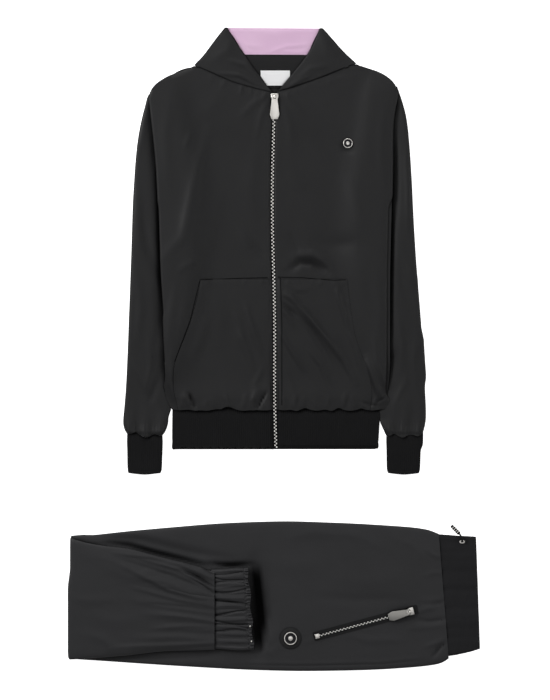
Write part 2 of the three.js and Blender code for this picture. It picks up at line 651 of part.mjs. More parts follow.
// A zip slider in its own frame: the tape runs along y, and the arch holds the pull's bar.
function sliderGeometry() {
  const { width, length, thick } = SLIDER;
  const shares = [
    [-1 / 3, -1 / 2], [1 / 3, -1 / 2], [1 / 2, 0],
    [1 / 2, 1 / 2], [-1 / 2, 1 / 2], [-1 / 2, 0],
  ];
  const body = shares.map(([x, y]) => [x * width, y * length]);
  return plate(body, thick);
}
function archGeometry() {
  const half = ARCH.inside / 2;
  const leg = ARCH.bar;
  const profile = [
    [-half - leg, 0], [-half, 0], [-half, ARCH.inside], [half, ARCH.inside],
    [half, 0], [half + leg, 0], [half + leg, ARCH.inside + leg], [-half - leg, ARCH.inside + leg],
  ];
  const geometry = plate(profile, ARCH.width);
  geometry.translate(0, 0, -ARCH.width / 2);
  geometry.rotateX(Math.PI / 2);
  geometry.rotateZ(Math.PI / 2);
  return geometry;
}
// A pull tab in its own frame: its bar is at the origin and the tab runs to -y.
function pullGeometry() {
  const { length, wide, neck, thick, slot } = PULL;
  const side = [
    [wide / 2 - 3, -length], [wide / 2, -length + 8],
    [neck / 2 + 0.6, -slot - 1.5], [neck / 2, ARCH.bar / 2 + 0.3],
  ];
  const outline = [...side, ...[...side].reverse().map(([x, y]) => [-x, y])];
  const hole = [[-3, -ARCH.bar / 2], [3, -ARCH.bar / 2], [3, -slot], [-3, -slot]];
  const geometry = plate(outline, thick, [hole]);
  geometry.translate(0, 0, -thick / 2);
  return geometry;
}

// Two closed shapes that meet or overlap, made one.
const wasm = await Module();
wasm.setup();
function manifoldOf(geometry) {
  const bare = geometry.clone();
  bare.deleteAttribute("normal");
  bare.deleteAttribute("uv");
  const merged = mergeVertices(bare, 1e-3);
  return new wasm.Manifold(new wasm.Mesh({
    numProp: 3,
    vertProperties: merged.attributes.position.array,
    triVerts: new Uint32Array(merged.index.array),
  }));
}
function joined(first, second) {
  const made = manifoldOf(first).add(manifoldOf(second)).getMesh();
  const geometry = new THREE.BufferGeometry();
  geometry.setAttribute("position", new THREE.Float32BufferAttribute(made.vertProperties, 3));
  geometry.setIndex([...made.triVerts]);
  geometry.computeVertexNormals();
  return geometry;
}

// A slider with its arch, and the pull tab that hangs in it and slopes down to the cloth.
function addSlider(group, name, at, turn, droop) {
  const arch = archGeometry();
  arch.translate(0, 0, SLIDER.thick - 0.2);
  const slider = piece(group, `${name}_slider`, "metal", joined(sliderGeometry(), arch));
  slider.position.set(at.x, at.y, at.z);
  slider.rotation.z = turn;
  const holder = new THREE.Group();
  holder.position.set(at.x, at.y, at.z);
  holder.rotation.z = turn;
  group.add(holder);
  const pull = piece(holder, `${name}_pull`, "metal", pullGeometry());
  pull.position.z = SLIDER.thick - 0.2 + ARCH.inside / 2;
  pull.rotation.x = droop;
}

function addJacketZip() {
  const top = SLIDER.y + 6;
  const frontTop = FRONT_OVER_BACK + NYLON;
  zipStrip("zip_tape", "tape", TAPE_HALF, top, 2, KNIT + 0.2, FRONT_OVER_BACK - 0.5);
  zipStrip("zip_chain", "metal", CHAIN_HALF, top, 3, FRONT_OVER_BACK - 0.2, frontTop);
  const z = frontTop + FLAP_LIFT + LAYER;
  addSlider(jacket, "zip", { x: zipAt(SLIDER.y), y: SLIDER.y, z }, 0, PULL_DROOP);
  const badge = plate(ring(CHEST_BADGE.radius, CHEST_BADGE.radius, 24), CHEST_BADGE.thick);
  const around = [0, ...ring(CHEST_BADGE.radius, CHEST_BADGE.radius, 12)].map((p) =>
    frontHeight(CHEST_BADGE.x + (p[0] ?? 0), CHEST_BADGE.y + (p[1] ?? 0), 80));
  badge.translate(CHEST_BADGE.x, CHEST_BADGE.y, Math.max(...around) + NYLON + LAYER);
  piece(jacket, "chest_badge", "metal", badge);
}

function addHood() {
  // The back of the hood: up from the neck, over a rounded fold, and down beneath the neck.
  const upper = FLAP_LIFT;
  const radius = (upper + NYLON) / 2;
  const upTo = (y) => (y - HOOD_NECK.y) / (HOOD_FOLD.y - HOOD_NECK.y);
  const halfWidth = (y) => mix(HOOD_NECK.half, HOOD_FOLD.half, smooth(upTo(y)));
  const centre = (y) => mix(HOOD_NECK.centre, HOOD_FOLD.centre, clamp(upTo(y)));
  const path = [
    ...[676, 700, 726, 752].map((y) => ({ y, z: upper + NYLON, wide: halfWidth(y) })),
    ...[0.25, 0.5, 0.75].map((share) => {
      const angle = Math.PI * share;
      return { y: HOOD_FOLD.axis + radius * Math.sin(angle), z: radius + radius * Math.cos(angle), wide: 85 };
    }),
    ...[752, 715, 680, HOOD_FLAP_END].map((y) => ({ y, z: 0, wide: y > 700 ? 86 : 120 })),
  ];
  const across = Array.from({ length: 7 }, (_, i) => i / 3 - 1);
  // The first row follows the back's neck edge.
  const alongNeck = (x) => mix(676, 688, Math.min(1, (x / 146) ** 2)) + 3 * SEAM;
  const neckEdge = (x, y, k) => (k === 0 ? alongNeck(x) : y);
  const placed = (k, x, y, z) => new THREE.Vector3(x, neckEdge(x, y, k), z);
  const outer = path.map(({ y, z, wide }, k) =>
    across.map((share) => placed(k, centre(y) + wide * share, y, z)));
  const inner = path.map(({ y, z, wide }, k) => {
    const round = k > 3 && k < 7;
    const toMiddle = z > radius ? -NYLON : NYLON;
    const inwards = round ? mix(HOOD_FOLD.axis, y, 0.12) : y;
    const level = round ? mix(radius, z, 0.12) : z + toMiddle;
    return across.map((share) => placed(k, centre(y) + wide * share, inwards, level));
  });
  piece(jacket, "hood_back", "nylon", closed(outer, inner, false));

  const liningLevel = upper + NYLON + LAYER;
  const lining = net([
    { left: [-85, 756.5], right: [82, 755.5] },
    { left: [-70, 737], right: [71, 736] },
    { left: [-56, 710], right: [60, 709.5] },
  ], ["left", "right"], [8], [2, 2]);
  piece(jacket, "hood_lining", "lining", sheet(raised(lining, () => liningLevel), TRIM));
  const facing = net([
    { left: [-56, 709], right: [60, 708.5] },
    { left: [-44, 678], right: [46, 678] },
    { left: [-22, 650], right: [22, 650] },
  ], ["left", "right"], [8], [2, 2]);
  const level = (x, y) => Math.max(liningLevel, backHeight(x, y) + NYLON + LAYER);
  piece(jacket, "neck_facing", "nylon", sheet(raised(facing, level), TRIM));
  const label = net([
    { left: [-25, 680], right: [28, 680] },
    { left: [-24, 668], right: [27, 668] },
    { left: [-18, 657], right: [22, 657] },
  ], ["left", "right"], [3], [1, 1]);
  piece(jacket, "neck_label", "label", sheet(raised(label, (x, y) => level(x, y) + TRIM + LAYER), LABEL));

  const rails = ["out", "first", "second", "open"];
  const side = (name, rows) => {
    const flat = net(rows, rails, [2, 2, 2], [2, 2, 2, 2]);
    const last = flat.length - 1;
    const height = (x, y, i, j) => {
      const crown = HOOD_CROWN * Math.sin((Math.PI * i) / 6) * Math.sin((Math.PI * j) / last);
      return liningLevel + TRIM + LABEL + 2 * LAYER + crown;
    };
    piece(jacket, `hood_${name}`, "nylon", sheet(raised(flat, height), NYLON));
  };
  side("left", HOOD_LEFT);
  side("right", HOOD_RIGHT);
}

// A rounded stack of hidden layers: a groove round its edge shows where one layer ends.
function stack(outline, base, height, layers) {
  const line = outline.map(([x, y]) => new THREE.Vector3(x, y, 0));
  const count = line.length;
  const inwards = line.map((_, k) => {
    const along = line[(k + 1) % count].clone().sub(line[(k + count - 1) % count]).normalize();
    return new THREE.Vector3(-along.y, along.x, 0);
  });
  const levels = [{ up: 0, inset: 1.2 }];
  for (let k = 0; k < layers; k++) {
    levels.push({ up: (k + 0.5) / layers, inset: 0 });
    levels.push({ up: (k + 1) / layers, inset: k === layers - 1 ? 5 : 1.8 });
  }
  const points = levels.flatMap(({ up, inset }) =>
    line.map((p, k) => p.clone().addScaledVector(inwards[k], inset).setZ(base + up * height)));
  const index = [];
  for (let j = 0; j < levels.length - 1; j++)
    for (let k = 0; k < count; k++) {
      const [a, b] = [j * count + k, j * count + ((k + 1) % count)];
      index.push(a, b, b + count, a, b + count, a + count);
    }
  const rim = (j) => points.slice(j * count, (j + 1) * count);
  const cap = THREE.ShapeUtils.triangulateShape(rim(0).map((p) => new THREE.Vector2(p.x, p.y)), []);
  const topRim = rim(levels.length - 1).map((p) => new THREE.Vector2(p.x, p.y));
  const lid = THREE.ShapeUtils.triangulateShape(topRim, []);
  const top = (levels.length - 1) * count;
  cap.forEach(([a, b, c]) => index.push(a, c, b));
  lid.forEach(([a, b, c]) => index.push(top + a, top + b, top + c));
  return solid(points, index);
}

// How far a panel's outer face drops towards its edge, where it folds over the layers below.
const EDGE_ROLL = [
  { inset: 0, drop: 3 },
  { inset: 2, drop: 1.2 },
  { inset: 6, drop: 0.3 },
  { inset: 14, drop: 0 },
];
function edgeShares(width) {
  const near = EDGE_ROLL.map(({ inset }) => inset / width);
  return [...near, ...[...near].reverse().map((share) => 1 - share)];
}
const rollDrop = (distance) => {
  const k = EDGE_ROLL.findIndex(({ inset }) => inset >= distance - 1e-6);
  if (k < 0) return 0;
  if (k === 0) return EDGE_ROLL[0].drop;
  const [a, b] = [EDGE_ROLL[k - 1], EDGE_ROLL[k]];
  return mix(a.drop, b.drop, (distance - a.inset) / (b.inset - a.inset));
};

// A panel across a folded leg, in sections from a low to a high point, its outer face rolled at the edges.
function legPanel(sections, across, outerAt) {
  const outer = sections.map((section) => {
    const [low, high] = [section.low, section.high];
    const width = Math.hypot(high[0] - low[0], high[1] - low[1]);
    const rim = edgeShares(width);
    const inside = Array.from({ length: across - 1 }, (_, k) => mix(rim[3], rim[4], (k + 1) / across));
    return [...rim.slice(0, 4), ...inside, ...rim.slice(4)].map((share) => {
      const [x, y] = [mix(low[0], high[0], share), mix(low[1], high[1], share)];
      return outerAt(section, x, y, rollDrop(Math.min(share, 1 - share) * width));
    });
  });
  const faces = outward(outer);
  const inner = outer.map((row, j) => row.map((p, i) => p.clone().addScaledVector(faces[j][i], -NYLON)));
  return closed(outer, inner, false);
}

function sectionsOf(table, along) {
  return steps(along).map((t) => {
    const section = {};
    for (const name of ["low", "high"])
      section[name] = [0, 1].map((axis) => through(table.map((row) => row[name][axis]), t));
    return section;
  });
}

function addThigh() {
  const inset = (rows, by) => [
    ...rows.map(({ low }) => [low[0], low[1] + by]),
    ...[...rows].reverse().map(({ high }) => [high[0], high[1] - by]),
  ];
  const round = [...inset(THIGH, 2.4).filter(([x]) => x > 30 && x < 660)];
  const seam = [[672, 18], [678, 30], [672, 120], [664, 200], [658, 240], [648, 250]];
  const low = round.filter(([, y]) => y < 130);
  const high = round.filter(([x, y]) => y > 130 && x < 640);
  const hidden = [[16, 60], [20, 36], [34, 26], ...low, ...seam, ...high, [34, 236], [20, 226], [16, 200]];
  piece(trousers, "thigh_layers", "trouserNylon", stack(hidden, 0, THIGH_STACK, 3));
  const sections = sectionsOf(THIGH, [1, 2, 2, 1, 2, 2, 1, 2, 1]);
  const level = (x, y) => THIGH_TOP + creases(THIGH_FOLDS, x, y);
  const flatAt = (section, x, y, drop) => new THREE.Vector3(x, y, level(x, y) - drop);
  piece(trousers, "thigh_front", "trouserNylon", legPanel(sections, 8, flatAt));
}

function addWaistband() {
  const hidden = [
    [690, 33], [702, 36], [722, 40], [734, 44], [738, 50], [736, 110], [733.5, 181],
    [731, 234], [726, 238], [716, 239], [690, 239.5], [676, 240], [678, 190], [683, 110],
  ];
  piece(trousers, "waistband_layers", "knit", stack(hidden, 0, THIGH_STACK, 3));
  const sections = sectionsOf(WAISTBAND, [1, 1, 1]);
  const flatAt = (section, x, y, drop) => new THREE.Vector3(x, y, THIGH_TOP - drop);
  piece(trousers, "waistband", "knit", legPanel(sections, 8, flatAt));
}

function addShin() {
  const hidden = [
    [16, 34], [60, 34], [112, 38], [162, 43], [212, 46], [258, 48],
    [258, 174], [212, 186], [162, 198], [112, 213], [60, 218], [16, 226],
  ];
  piece(trousers, "shin_layers", "trouserNylon", stack(hidden, SHIN_BASE, SHIN_STACK, 2));
  const at = (name, t) => through(SHIN.map((row) => row[name]), t);
  const sections = steps(SHIN_ALONG).map((t) => {
    const [x, z] = [at("x", t), at("z", t)];
    const [dx, dz] = [at("x", t + 0.05) - at("x", t - 0.05), at("z", t + 0.05) - at("z", t - 0.05)];
    const size = Math.hypot(dx, dz);
    return { low: [x, at("low", t)], high: [x, at("high", t)], z, out: [-dz / size, dx / size] };
  });
  const onPath = ({ z, out }, x, y, drop) => {
    const lying = smooth((x - 8) / 30) * (z > 12 ? 1 : 0);
    const lift = lying * creases(PLEATS, x, y) - drop;
    return new THREE.Vector3(x + out[0] * lift, y, z + out[1] * lift);
  };
  piece(trousers, "lower_leg", "trouserNylon", legPanel(sections, 21, onPath));
}

// The gathers round the ankle's elastic cuff.
const ankleWave = (share) => ANKLE_GATHER_HIGH * (1 - Math.cos(share * ANKLE_GATHERS * 2 * Math.PI));

function addAnkle() {
  const table = ANKLE.map(({ low, high }) => ({ outer: low, inner: high }));
  const shape = {
    along: [1, 1, 1], across: 33, height: ANKLE_HEIGHT, wall: NYLON, base: SHIN_BASE, wave: ankleWave,
  };
  piece(trousers, "ankle_cuff", "trouserNylon", tube(table, shape));
  const [low, high] = [ANKLE.at(-1).low[1], ANKLE.at(-1).high[1]];
  ANKLE_STOPS.forEach(({ x, y }, k) => {
    const form = plate(box(ANKLE_STOP.long, ANKLE_STOP.across), ANKLE_STOP.thick);
    const stop = piece(trousers, `ankle_zip_stop_${k + 1}`, "metal", form);
    const below = [-1, -0.5, 0, 0.5, 1].map((side) =>
      ankleWave((y + (side * ANKLE_STOP.across) / 2 - low) / (high - low)));
    stop.position.set(x, y, SHIN_BASE + ANKLE_HEIGHT + Math.max(...below) + LAYER);
  });
}

function addPocketZip() {
  const { from, to, tape, chain } = POCKET_ZIP;
  const length = Math.hypot(to[0] - from[0], to[1] - from[1]);
  const turn = Math.atan2(to[1] - from[1], to[0] - from[0]);
  const strip = (name, finish, width, extra, low, thick) => {
    const mesh = piece(trousers, name, finish, plate(box(length + extra, width), thick));
    mesh.position.set((from[0] + to[0]) / 2, (from[1] + to[1]) / 2, low);
    mesh.rotation.z = turn;
  };
  strip("pocket_zip_tape", "tape", tape, 12, THIGH_TOP + LAYER, 0.8);
  strip("pocket_zip_chain", "metal", chain, -10, THIGH_TOP + 2 * LAYER + 0.8, 1.4);
  const along = (distance) => [from[0] + Math.cos(turn) * distance, from[1] + Math.sin(turn) * distance];
  const stop = piece(trousers, "pocket_zip_stop", "metal", plate(box(8, 8.4), 2.2));
  stop.position.set(...along(0), THIGH_TOP + 2 * LAYER + 0.8);
  stop.rotation.z = turn;
  const [x, y] = along(length - 8);
  const at = { x, y, z: THIGH_TOP + 3 * LAYER + 2.2 };
  addSlider(trousers, "pocket_zip", at, turn - Math.PI / 2, PULL_DROOP);
}

function addTrims() {
  const onThigh = THIGH_TOP + LAYER;
  const round = (name, finish, radius, thick, low) => {
    const disc = piece(trousers, name, finish, plate(ring(radius, radius, 32), thick));
    disc.position.set(THIGH_BADGE.x, THIGH_BADGE.y, low);
  };
  round("thigh_badge_patch", "patch", THIGH_BADGE.patch, TRIM, onThigh);
  round("thigh_badge", "metal", THIGH_BADGE.disc, 2, onThigh + TRIM + LAYER);
  const hole = ring(EYELET.holeLong, EYELET.holeAcross, 16).reverse();
  const rim = plate(ring(EYELET.long, EYELET.across, 20), EYELET.thick, [hole]);
  rim.translate(EYELET.x, EYELET.y, onThigh);
  piece(trousers, "eyelet", "metal", rim);
}

function addCord() {
  const points = CORD_ROUTE.map(({ x, y, z }) => new THREE.Vector3(x, y, z));
  const route = new THREE.CatmullRomCurve3(points, false, "centripetal");
  const tubeOf = (curve, radius, count) => {
    const section = new THREE.Shape(ring(radius, radius, 8).map(([x, y]) => new THREE.Vector2(x, y)));
    return new THREE.ExtrudeGeometry(section, { steps: count, extrudePath: curve, bevelEnabled: false });
  };
  piece(trousers, "drawcord", "tape", tubeOf(route, CORD_RADIUS, 12));
  const [from, to] = [CORD_TIP.from, CORD_TIP.to].map((p) => new THREE.Vector3(...p));
  piece(trousers, "cord_tip", "metal", tubeOf(new THREE.LineCurve3(from, to), CORD_TIP.radius, 1));
}

addBack();
addFront("left", FRONT_TOP_LEFT, FRONT_LEFT_ROWS, -1);
addFront("right", FRONT_TOP_RIGHT, FRONT_RIGHT_ROWS, 1);
addSleeve("left", SLEEVE_LEFT, CUFF_LEFT);
addSleeve("right", SLEEVE_RIGHT, CUFF_RIGHT);
addHem();
addJacketZip();
addHood();
addThigh();
addWaistband();
addShin();
addAnkle();
addPocketZip();
addTrims();
addCord();

// The origin is at the middle of the set's footprint, on the surface.
const extent = new THREE.Box3().setFromObject(set, true);
const middle = extent.getCenter(new THREE.Vector3());
jacket.position.x -= middle.x;
jacket.position.y -= middle.y;
trousers.position.x -= middle.x;
trousers.position.y -= middle.y;

export default set;
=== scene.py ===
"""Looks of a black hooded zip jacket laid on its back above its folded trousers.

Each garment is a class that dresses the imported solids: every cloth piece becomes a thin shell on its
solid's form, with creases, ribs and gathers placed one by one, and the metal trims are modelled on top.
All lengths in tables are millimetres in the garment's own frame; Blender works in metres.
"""

from __future__ import annotations

import json
import logging
import math
from collections.abc import Callable
from dataclasses import dataclass, field
from enum import Enum

import bmesh
import bpy
import numpy as np
from mathutils import Matrix, Vector
from mathutils.bvhtree import BVHTree
from mathutils.kdtree import KDTree

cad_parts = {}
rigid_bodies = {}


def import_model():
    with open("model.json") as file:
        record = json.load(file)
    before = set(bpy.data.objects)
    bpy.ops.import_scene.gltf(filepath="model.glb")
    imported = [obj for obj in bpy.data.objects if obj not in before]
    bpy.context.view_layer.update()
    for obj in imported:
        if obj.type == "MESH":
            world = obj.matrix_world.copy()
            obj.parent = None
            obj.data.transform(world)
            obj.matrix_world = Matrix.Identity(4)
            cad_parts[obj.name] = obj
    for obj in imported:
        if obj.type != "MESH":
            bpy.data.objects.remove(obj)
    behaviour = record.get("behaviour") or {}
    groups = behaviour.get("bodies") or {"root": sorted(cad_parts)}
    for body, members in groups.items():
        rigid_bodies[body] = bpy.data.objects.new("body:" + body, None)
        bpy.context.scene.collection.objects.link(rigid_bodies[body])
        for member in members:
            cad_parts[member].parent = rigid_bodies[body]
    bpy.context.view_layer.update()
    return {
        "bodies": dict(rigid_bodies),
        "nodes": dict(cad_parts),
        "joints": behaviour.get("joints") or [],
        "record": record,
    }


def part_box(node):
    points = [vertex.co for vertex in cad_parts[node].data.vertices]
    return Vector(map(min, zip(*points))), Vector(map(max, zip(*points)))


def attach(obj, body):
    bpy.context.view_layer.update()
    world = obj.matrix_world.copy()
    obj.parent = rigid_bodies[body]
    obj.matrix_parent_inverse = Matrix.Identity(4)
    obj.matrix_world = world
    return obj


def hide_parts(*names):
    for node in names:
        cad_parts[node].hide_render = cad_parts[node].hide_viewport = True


LOG = logging.getLogger("tracksuit")
MM = 0.001
# A wave texture of scale 1 repeats after this many units.
WAVE_PERIOD = math.pi / 10
# The colour of cloth drifts between its two shades over this many millimetres.
DRIFT = 70
# Cloth in a hollow gets painted shade in its colour and gloss: how near the walls that shade it stand, in
# millimetres, the shares of open sky at which it is darkest and fully lit, and the share of its colour
# that the darkest keeps.
HOLLOW_REACH = 22
HOLLOW_SKY = (0.42, 0.93)
HOLLOW_SHADE = 0.12
# The share of its colour that cloth keeps where a trough sinks it right down: painted shade.
TROUGH_PAINTED_SHADE = 0.06
# An edge of a cloth wall that folds by more than this many degrees is part of its rim.
RIM_FOLD = 58
# A flattened tube's underside is dented by the creases of its upper side, moved by this many
# millimetres, at this share of their height.
UNDERSIDE_SHIFT = (17, -23)
UNDERSIDE_DENT = 0.5
# Cloth in a trough gets painted shade from the first depth in millimetres on, and fully so the second depth
# below it.
TROUGH_SHADE_FROM = 1.5
TROUGH_SHADE_OVER = 6
# A seated edge stops this many millimetres above what it rests on.
CLEARANCE = 0.2
DOWN = Vector((0, 0, -1))
Point = tuple[float, float]
Triple = tuple[float, float, float]
Colour = tuple[float, float, float, float]


def linear(code: str) -> Colour:
    """Turn an sRGB hex colour into Blender's linear RGBA.

    Args:
        code: six hex digits, with or without a leading hash.

    Returns:
        The linear colour with alpha 1.
    """
    digits = code.lstrip("#")
    parts = [int(digits[k : k + 2], 16) / 255 for k in (0, 2, 4)]
    flat = [c / 12.92 if c <= 0.04045 else ((c + 0.055) / 1.055) ** 2.4 for c in parts]
    return (flat[0], flat[1], flat[2], 1.0)


def add_node(
    tree: bpy.types.NodeTree,
    kind: str,
    settings: dict[str, object],
    links: dict[str | int, bpy.types.NodeSocket] | None = None,
) -> bpy.types.Node:
    """Add one shader node with its settings and incoming links.

    Args:
        tree: the material's node tree.
        kind: the node's type name, without the ShaderNode prefix.
        settings: attribute values, or socket values where the key is a socket's name.
        links: socket name to the output socket that feeds it.

    Returns:
        The new node.
    """
    node = tree.nodes.new("ShaderNode" + kind)
    for key, value in settings.items():
        if hasattr(node, key):
            setattr(node, key, value)
        else:
            node.inputs[key].default_value = value
    for key, source in (links or {}).items():
        tree.links.new(source, node.inputs[key])
    return node


def blank_material(name: str) -> tuple[bpy.types.Material, bpy.types.NodeTree]:
    """Start a material with an empty node tree.

    Args:
        name: the material's name.

    Returns:
        The material and its node tree.
    """
    material = bpy.data.materials.new(name)
    material.use_nodes = True
    material.node_tree.nodes.clear()
    return material, material.node_tree


class Weave(Enum):
    """How the threads of a cloth cross: the axes that its two sets of bands follow."""

    PLAIN = ("X", "Y")
    RIBS_ALONG_Y = ("X", "X")
    RIBS_ALONG_X = ("Y", "Y")


@dataclass(frozen=True)
class Cloth:
    """A woven or knitted finish: polyamide or cotton yarn with a soft, broken gloss."""

    name: str
    colour: str
    shade: str
    roughness: float
    specular: float
    sheen: float
    thread_mm: float
    thread_bump: float
    crumple_mm: float
    crumple_bump: float
    weave: Weave = Weave.PLAIN

    def make(self) -> bpy.types.Material:
        """Build the material: thread relief, fine crumple, colour that drifts between two shades, and
        painted shade.

        Returns:
            The material.
        """
        material, tree = blank_material(self.name)
        place = add_node(tree, "TexCoord", {}).outputs["Object"]
        drift = add_node(tree, "TexNoise", {"Scale": 1 / (DRIFT * MM), "Detail": 3.0}, {"Vector": place})
        colour = add_node(tree, "Mix", {"data_type": "RGBA"}, {"Factor": drift.outputs["Fac"]})
        # Inputs 6 and 7 of a colour mix are its two colours, and output 2 is the result.
        colour.inputs[6].default_value = linear(self.colour)
        colour.inputs[7].default_value = linear(self.shade)
        # Painted shade: colour and gloss are darkened where walls stand near the cloth, as ambient
        # occlusion measures it.
        open_sky = add_node(tree, "AmbientOcclusion", {"samples": 8, "Distance": HOLLOW_REACH * MM})
        hollow = add_node(
            tree,
            "MapRange",
            {"From Min": HOLLOW_SKY[0], "From Max": HOLLOW_SKY[1], "To Min": HOLLOW_SHADE, "To Max": 1.0},
            {"Value": open_sky.outputs["AO"]},
        )
        # Painted shade in troughs: the deeper the cloth was sunk, the darker its colour and gloss.
        pressed = add_node(tree, "Attribute", {"attribute_name": "pressed"})
        sunk = add_node(
            tree,
            "MapRange",
            {"To Min": 1.0, "To Max": TROUGH_PAINTED_SHADE},
            {"Value": pressed.outputs["Fac"]},
        )
        light = add_node(
            tree,
            "Math",
            {"operation": "MULTIPLY"},
            {0: hollow.outputs["Result"], 1: sunk.outputs["Result"]},
        )
        # The gloss is darkened by the same painted shade.
        gloss = add_node(tree, "Math", {"operation": "MULTIPLY"}, {0: light.outputs[0]})
        gloss.inputs[1].default_value = self.specular
        # The colour is multiplied by the painted shade.
        deep = add_node(tree, "Mix", {"data_type": "RGBA", "blend_type": "MULTIPLY"})
        deep.inputs["Factor"].default_value = 1.0
        tree.links.new(colour.outputs[2], deep.inputs[6])
        tree.links.new(light.outputs[0], deep.inputs[7])
        rough = add_node(
            tree,
            "MapRange",
            {"To Min": self.roughness - 0.05, "To Max": self.roughness + 0.05},
            {"Value": drift.outputs["Fac"]},
        )
        turn = WAVE_PERIOD / (self.thread_mm * MM)
        waves = [
            add_node(
                tree,
                "TexWave",
                {"bands_direction": axis, "Scale": turn, "Distortion": 0.4, "Detail": 1.0},
                {"Vector": place},
            )
            for axis in self.weave.value
        ]
        threads = add_node(
            tree,
            "Math",
            {"operation": "ADD"},
            {0: waves[0].outputs["Fac"], 1: waves[1].outputs["Fac"]},
        )
        crumple = add_node(
            tree,
            "TexNoise",
            {"Scale": 1 / (self.crumple_mm * MM), "Detail": 4.0, "Roughness": 0.55},
            {"Vector": place},
        )
        fine = add_node(
            tree,
            "Bump",
            {"Strength": self.thread_bump, "Distance": 0.2 * MM},
            {"Height": threads.outputs[0]},
        )
        broad = add_node(
            tree,
            "Bump",
            {"Strength": self.crumple_bump, "Distance": 2 * MM},
            {"Height": crumple.outputs["Fac"], "Normal": fine.outputs["Normal"]},
        )
        shader = add_node(
            tree,
            "BsdfPrincipled",
            {"Sheen Weight": self.sheen, "Sheen Roughness": 0.45},
            {
                "Base Color": deep.outputs[2],
                "Specular IOR Level": gloss.outputs[0],
                "Roughness": rough.outputs["Result"],
                "Normal": broad.outputs["Normal"],
            },
        )
        add_node(tree, "OutputMaterial", {}, {"Surface": shader.outputs["BSDF"]})
        return material


@dataclass(frozen=True)
class Metal:
    """A plated zinc casting, tumbled smooth: bright, with light wear and faint handling scratches."""

    name: str
    colour: str
    roughness: float

    def make(self) -> bpy.types.Material:
        """Build the material: plating whose gloss is broken by fine wear.

        Returns:
            The material.
        """
        material, tree = blank_material(self.name)
        place = add_node(tree, "TexCoord", {}).outputs["Object"]
        wear = add_node(tree, "TexNoise", {"Scale": 1 / (4 * MM), "Detail": 5.0}, {"Vector": place})
        rough = add_node(
            tree,
            "MapRange",
            {"To Min": self.roughness, "To Max": self.roughness + 0.15},
            {"Value": wear.outputs["Fac"]},
        )
        bump = add_node(
            tree,
            "Bump",
            {"Strength": 0.08, "Distance": 0.1 * MM},
            {"Height": wear.outputs["Fac"]},
        )
        shader = add_node(
            tree,
            "BsdfPrincipled",
            {"Base Color": linear(self.colour), "Metallic": 1.0},
            {"Roughness": rough.outputs["Result"], "Normal": bump.outputs["Normal"]},
        )
        add_node(tree, "OutputMaterial", {}, {"Surface": shader.outputs["BSDF"]})
        return material


# Woven threads are 0.1 to 0.3 mm apart, too fine to show, so they are drawn as coarse as they need to be.
CLOTHS = {
    # Pressed nylon taffeta: dense and smooth, with broad soft lights.
    "nylon": Cloth("nylon_taffeta_black", "#1e1e1f", "#1a1a1b", 0.5, 0.22, 0.03, 1.3, 0.10, 16, 0.10),
    # The same taffeta in a greyer dye.
    "trouser": Cloth("nylon_taffeta_graphite", "#2c2c2e", "#282829", 0.52, 0.22, 0.04, 1.3, 0.10, 16, 0.12),
    # Woven facing, duller than the nylon, and drawn darker as painted shade inside the neck.
    "facing": Cloth("nylon_painted_shade", "#151516", "#121213", 0.6, 0.2, 0.02, 1.3, 0.10, 16, 0.10),
    # Knitted cotton rib: matt and darker, with a groove between the ribs.
    "rib": Cloth(
        "rib_knit_black", "#161617", "#121213", 0.92, 0.15, 0.02, 1.9, 0.5, 6, 0.10, Weave.RIBS_ALONG_Y
    ),
    "band": Cloth(
        "rib_knit_waist", "#232325", "#1f1f20", 0.92, 0.15, 0.02, 1.9, 0.4, 6, 0.10, Weave.RIBS_ALONG_X
    ),
    # Satin weave: its long floats give a smoother gloss.
    "lining": Cloth("satin_lining_lilac", "#d9b9d2", "#ceaac8", 0.5, 0.3, 0.1, 1.2, 0.06, 14, 0.12),
    # Damask ribbon: fine, flat and pale.
    "label": Cloth("damask_label_pale", "#e9e9ea", "#dededf", 0.62, 0.3, 0.1, 0.9, 0.08, 9, 0.03),
    # Woven polyester tape: matt, with ribs along its length.
    "tape": Cloth(
        "zip_tape_black", "#141415", "#101011", 0.9, 0.2, 0.05, 1.6, 0.5, 7, 0.05, Weave.RIBS_ALONG_Y
    ),
    # Spun polyester thread: matt and almost black, so that a seam reads as a fine dark line.
    "thread": Cloth("sewing_thread_black", "#0d0d0e", "#0a0a0b", 0.9, 0.1, 0.0, 0.6, 0.3, 5, 0.05),
    # Moulded rubber patch: an even, slightly shiny black.
    "rubber": Cloth("moulded_patch_black", "#121213", "#0f0f10", 0.6, 0.35, 0.0, 2.5, 0.12, 5, 0.04),
}
METALS = {
    # Silver plate on zinc: bright, with slightly blurred reflections.
    "metal": Metal("silver_plated_zinc", "#e4e1dc", 0.26),
    # The same plate on small teeth, given a whiter colour as painted light, and a softer gloss.
    "teeth": Metal("silver_plated_teeth_painted_light", "#f2f0ec", 0.34),
    # Brushed plate: an even mid grey without clear reflections.
    "brushed": Metal("brushed_pull", "#a3a19d", 0.42),
    # Black nickel: dark, with a metal's gloss.
    "enamel": Metal("black_nickel_plate", "#2c2c2e", 0.35),
}


class Palette:
    """Makes each material once and hands it out by name."""

    def __init__(self) -> None:
        """Build every finish."""
        self.made = {key: finish.make() for key, finish in (CLOTHS | METALS).items()}

    def put(self, obj: bpy.types.Object, *keys: str) -> None:
        """Give an object its materials, one slot for each key.

        Args:
            obj: the piece.
            keys: the finishes' names in the palette.
        """
        obj.data.materials.clear()
        for key in keys:
            obj.data.materials.append(self.made[key])


